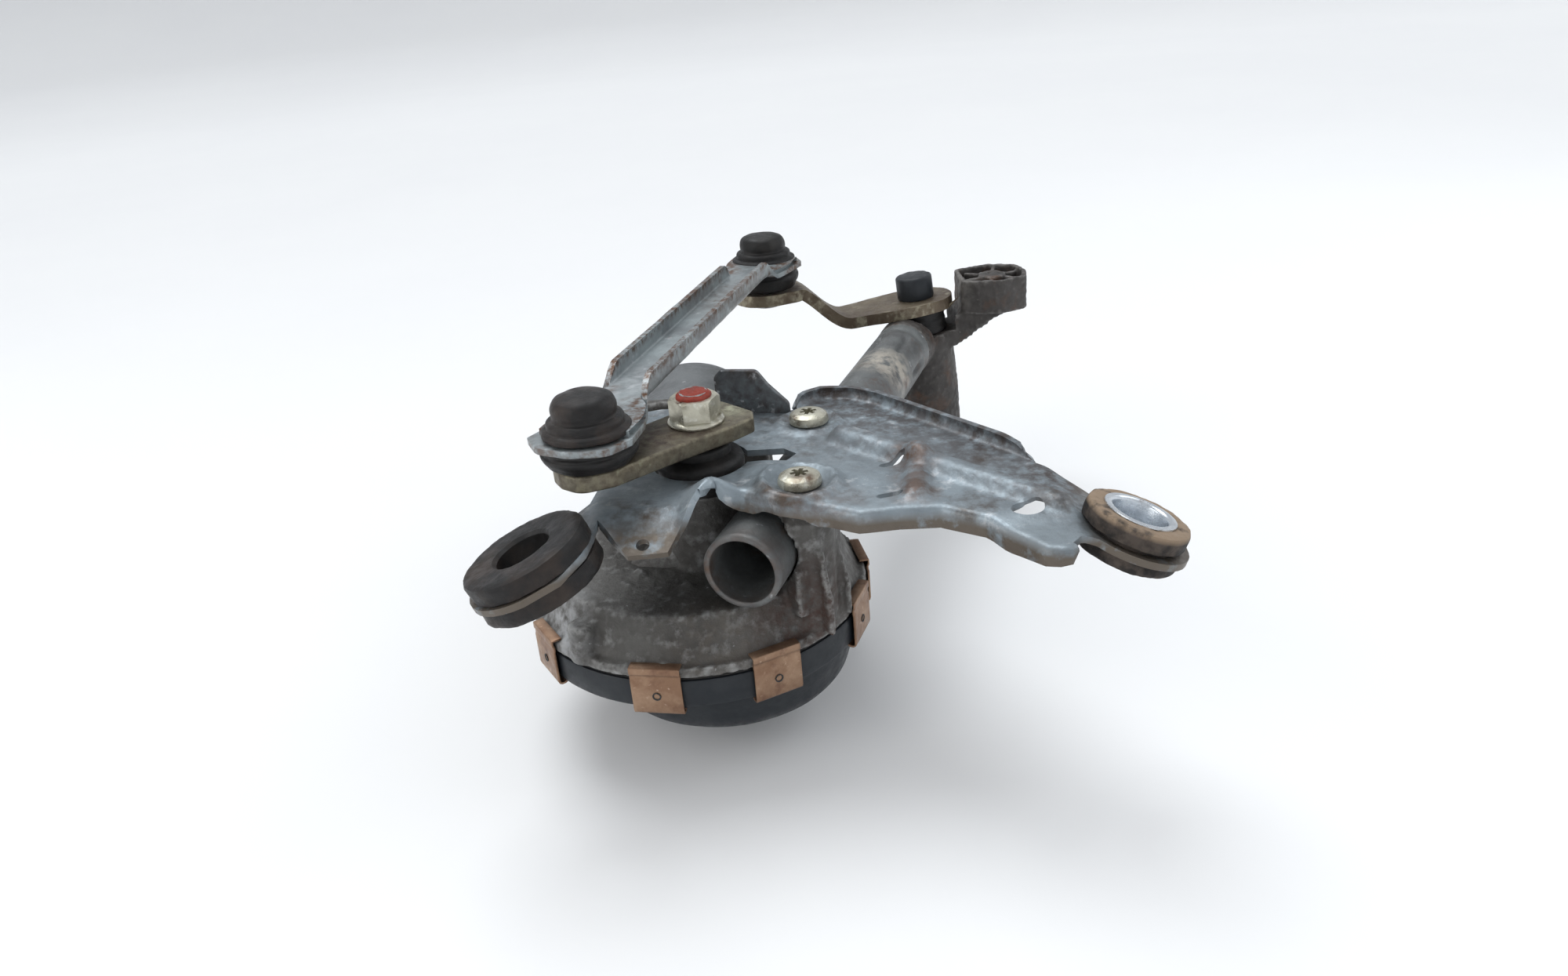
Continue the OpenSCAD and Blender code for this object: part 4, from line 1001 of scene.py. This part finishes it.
band = [(47.8, -45.75), (50.3, -45.75), (50.6, -46.2), (50.6, -53.2), (50.2, -54.1), (49.0, -54.4),
        (47.0, -54.3)]
bulge = [(p[0], p[1])
         for p in curve([(40.0, -54.6), (39.3, -57.5), (38.0, -61.5), (36.4, -66.0), (33.0, -69.6),
                                      (27.5, -71.6), (14, -72), (0, -72)], 5)]
cover = piece("moulded_cover", [lathe([(r, z) for r, z in band] + [(38, -54.3)], 128, (CASE.x, CASE.y)),
                                lathe([(36, -54.2)] + bulge, 128, (2, 0))], COVER, "frame",
              ["gear_cover"], weld=True)
modify(cover, "SOLIDIFY", thickness=1.6 * MM, offset=-1.0)
bake(cover)
sharpen(roughen(cover, 0.12, 0.1, 2.0), 40)
seal = [(5.2, 1.9), (5.2, 5.9), (7.6, 6.0), (8.8, 5.6), (9.2, 4.6), (9.1, 2.9), (10.6, 2.2), (12.0, 1.6),
        (12.5, 0.4), (12.4, -6.6), (11.6, -6.9), (8.4, -6.9), (8.2, 1.6), (5.2, 1.9)]
roughen(sharpen(piece("shaft_seal_cap", [lathe(seal, 80)], RUBBER, "frame", ["shaft_seal"],
                      weld=True), 50),
        0.12, 0.4, 9.0)

clip_line = [(48.6, -41.0), (50.2, -41.0), (51.5, -41.1), (51.5, -42.6), (51.15, -43.2), (51.15, -44.2),
             (51.35, -45), (51.4, -54.2), (51.2, -55.0), (50.6, -55.3), (49.6, -55.25), (49.0, -54.8)]
for i, angle in enumerate((38, 8, 338, 295.5, 257.5, 210, 170, 145)):
    spin = go(CASE.x, CASE.y) @ turn("Z", angle)
    n = 12
    rows = []
    for r, z in [tuple(p) for p in clip_line]:
        rows.append([(r * 1.0, 7.2 * (2 * k / n - 1), z) for k in range(n + 1)])
    verts, faces = loft(rows)
    clip = piece(f"bent_clip_{i}", [(verts, faces)], COPPER, "frame",
                 ["spring_clips"] if i == 0 else (), spin)
    modify(clip, "SOLIDIFY", thickness=0.7 * MM, offset=0.0)
    modify(clip, "BEVEL", width=0.2 * MM, segments=2, limit_method="ANGLE")
    bake(clip)
    sharpen(clip, 40)
    dot = spin @ go(51.8, 0, -49.6) @ turn("Y", 90)
    sharpen(piece(f"clip_dimple_{i}",
                  [lathe([(0, -0.35), (0.9, -0.3), (1.25, 0.12), (0.95, 0.16), (0.8, -0.1)], 24)],
                  CARBON, "frame", (), dot, weld=True), 50)

# ---------- frame tube ----------

rim = [(9.3, -31), (9.6, -31.15), (10.6, -31.15), (11.0, -30.7)]
length = [(11.0, -30.7 + 1.5 * k) for k in range(1, 120) if -30.7 + 1.5 * k < 148.5]
tube_profile = [(9.25, 126), (9.25, -30.6)] + rim + length + [(11.0, 148.9), (9.3, 149)]
pipe = piece("crimped_tube", [lathe(tube_profile, 96)], TUBE, "frame", ["frame_tube"],
             TUBE_AT @ turn("X", -90), weld=True)
inverse = (TUBE_AT @ turn("X", -90)).inverted()


def crimp(point):
    """Stake marks and groove where the tube is crimped on the casting's spigot."""
    p = inverse @ (point - AXIS / MM)
    if math.hypot(p.x, p.y) < 10 or p.z < 118:
        return 0.0
    ridge = max(0.0, math.cos(6 * math.atan2(p.y, p.x))) ** 3
    dent = 1.8 * ridge * ease(p.z, 120, 125) * (1 - ease(p.z, 136, 141))
    return -dent - 0.7 * math.exp(-((p.z - 143.5) / 1.3) ** 2)


push(pipe, crimp)
sharpen(pipe, 60)

# ---------- motor can ----------

CAN_AT = ARMATURE_AT @ turn("X", -90)
can_shape = [(23.5, 73.3), (27.6, 73.3), (27.9, 73.8), (27.6, 75.0), (26.6, 75.6), (26.45, 77)] + \
    [(26.45, 77 + 3 * k) for k in range(1, 14)] + \
    [(p[0], p[1])
     for p in curve([(26.45, 118), (26.0, 120.6), (24.4, 122.9), (21.5, 123.9), (12, 124.0), (8.6, 124.2),
                                  (7.8, 125.2), (7.7, 127.0), (7.0, 127.8), (0, 127.9)], 5)]
can = piece("drawn_can", [lathe(can_shape, 112), ], CAN, "frame", ["motor_can"], CAN_AT,
            weld=True)
sharpen(roughen(can, 0.1, 0.08, 5.0), 45)
ear_plate = moved(prism(rounded([(-28, 18), (28, 18), (28, 29.5), (-28, 29.5)], 4), 73.1, 75.0),
                  ARMATURE_AT @ UPRIGHT)
sharpen(piece("can_ear", [ear_plate], CAN, "frame"), 40)

# ---------- floor, light, camera ----------

# The floor lies just under the lowest piece, and rises in a bowl far behind it
FLOOR_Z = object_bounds()[0].z - 0.0006
floor_mat = material("studio_floor", (0.86, 0.86, 0.86), 0.0, 0.9, [((0.84, 0.84, 0.845), 3, 0.3, 0.7)], (),
                     (20, 0.02))
bowl = [(0, 0), (0.6, 0), (1.4, 0), (2.4, 0), (3.0, 0.06), (3.5, 0.3), (3.9, 0.8), (4.1, 1.6), (4.15, 2.6)]
verts, faces = lathe(bowl, 96)
mesh = bpy.data.meshes.new("studio_floor")
mesh.from_pydata([(x, y, z + FLOOR_Z) for x, y, z in verts], [], faces)
mesh.polygons.foreach_set("use_smooth", [True] * len(mesh.polygons))
mesh.materials.append(floor_mat)
floor = bpy.data.objects.new("studio_floor", mesh)
bpy.context.scene.collection.objects.link(floor)

world = bpy.data.worlds.new("studio")
bpy.context.scene.world = world
world.use_nodes = True
world.node_tree.nodes["Background"].inputs["Color"].default_value = (0.93, 0.96, 1.0, 1)
world.node_tree.nodes["Background"].inputs["Strength"].default_value = 0.62


def area(name, spot, aim, size, power, tint):
    light = bpy.data.lights.new(name, "AREA")
    light.size, light.energy, light.color = size, power, tint
    obj = bpy.data.objects.new(name, light)
    bpy.context.scene.collection.objects.link(obj)
    obj.location = AXIS + Vector(spot) * MM
    obj.rotation_mode = "QUATERNION"
    obj.rotation_quaternion = (Vector(aim) - Vector(spot)).to_track_quat("-Z", "Y")


area("soft_left", (-700, -350, 420), (0, 20, 0), 0.6, 2.2, (1.0, 0.98, 0.95))
area("soft_right", (760, 100, 500), (40, 20, 0), 0.6, 1.6, (0.95, 0.98, 1.0))
sun = bpy.data.lights.new("soft_sun", "SUN")
sun.energy, sun.angle, sun.color = 1.5, math.radians(38), (0.95, 0.98, 1.0)
sky = bpy.data.objects.new("soft_sun", sun)
bpy.context.scene.collection.objects.link(sky)
sky.rotation_mode = "QUATERNION"
sky.rotation_quaternion = Vector((0.16, -0.36, -0.92)).to_track_quat("-Z", "Y")

camera = bpy.data.cameras.new("camera")
camera.sensor_fit = "HORIZONTAL"
camera.sensor_width, camera.lens = 36, 27
camera.clip_start, camera.clip_end = 0.01, 50
eye = bpy.data.objects.new("camera", camera)
bpy.context.scene.collection.objects.link(eye)
eye.matrix_world = (Matrix.Translation(AXIS + Vector((23.1, -310.7, 133.7)) * MM)
                    @ Matrix.Rotation(math.radians(65), 4, "X") @ Matrix.Rotation(math.radians(-5), 4, "Z"))
bpy.context.scene.camera = eye
bpy.context.scene.view_settings.view_transform = "Standard"
bpy.context.scene.view_settings.exposure = 0.0
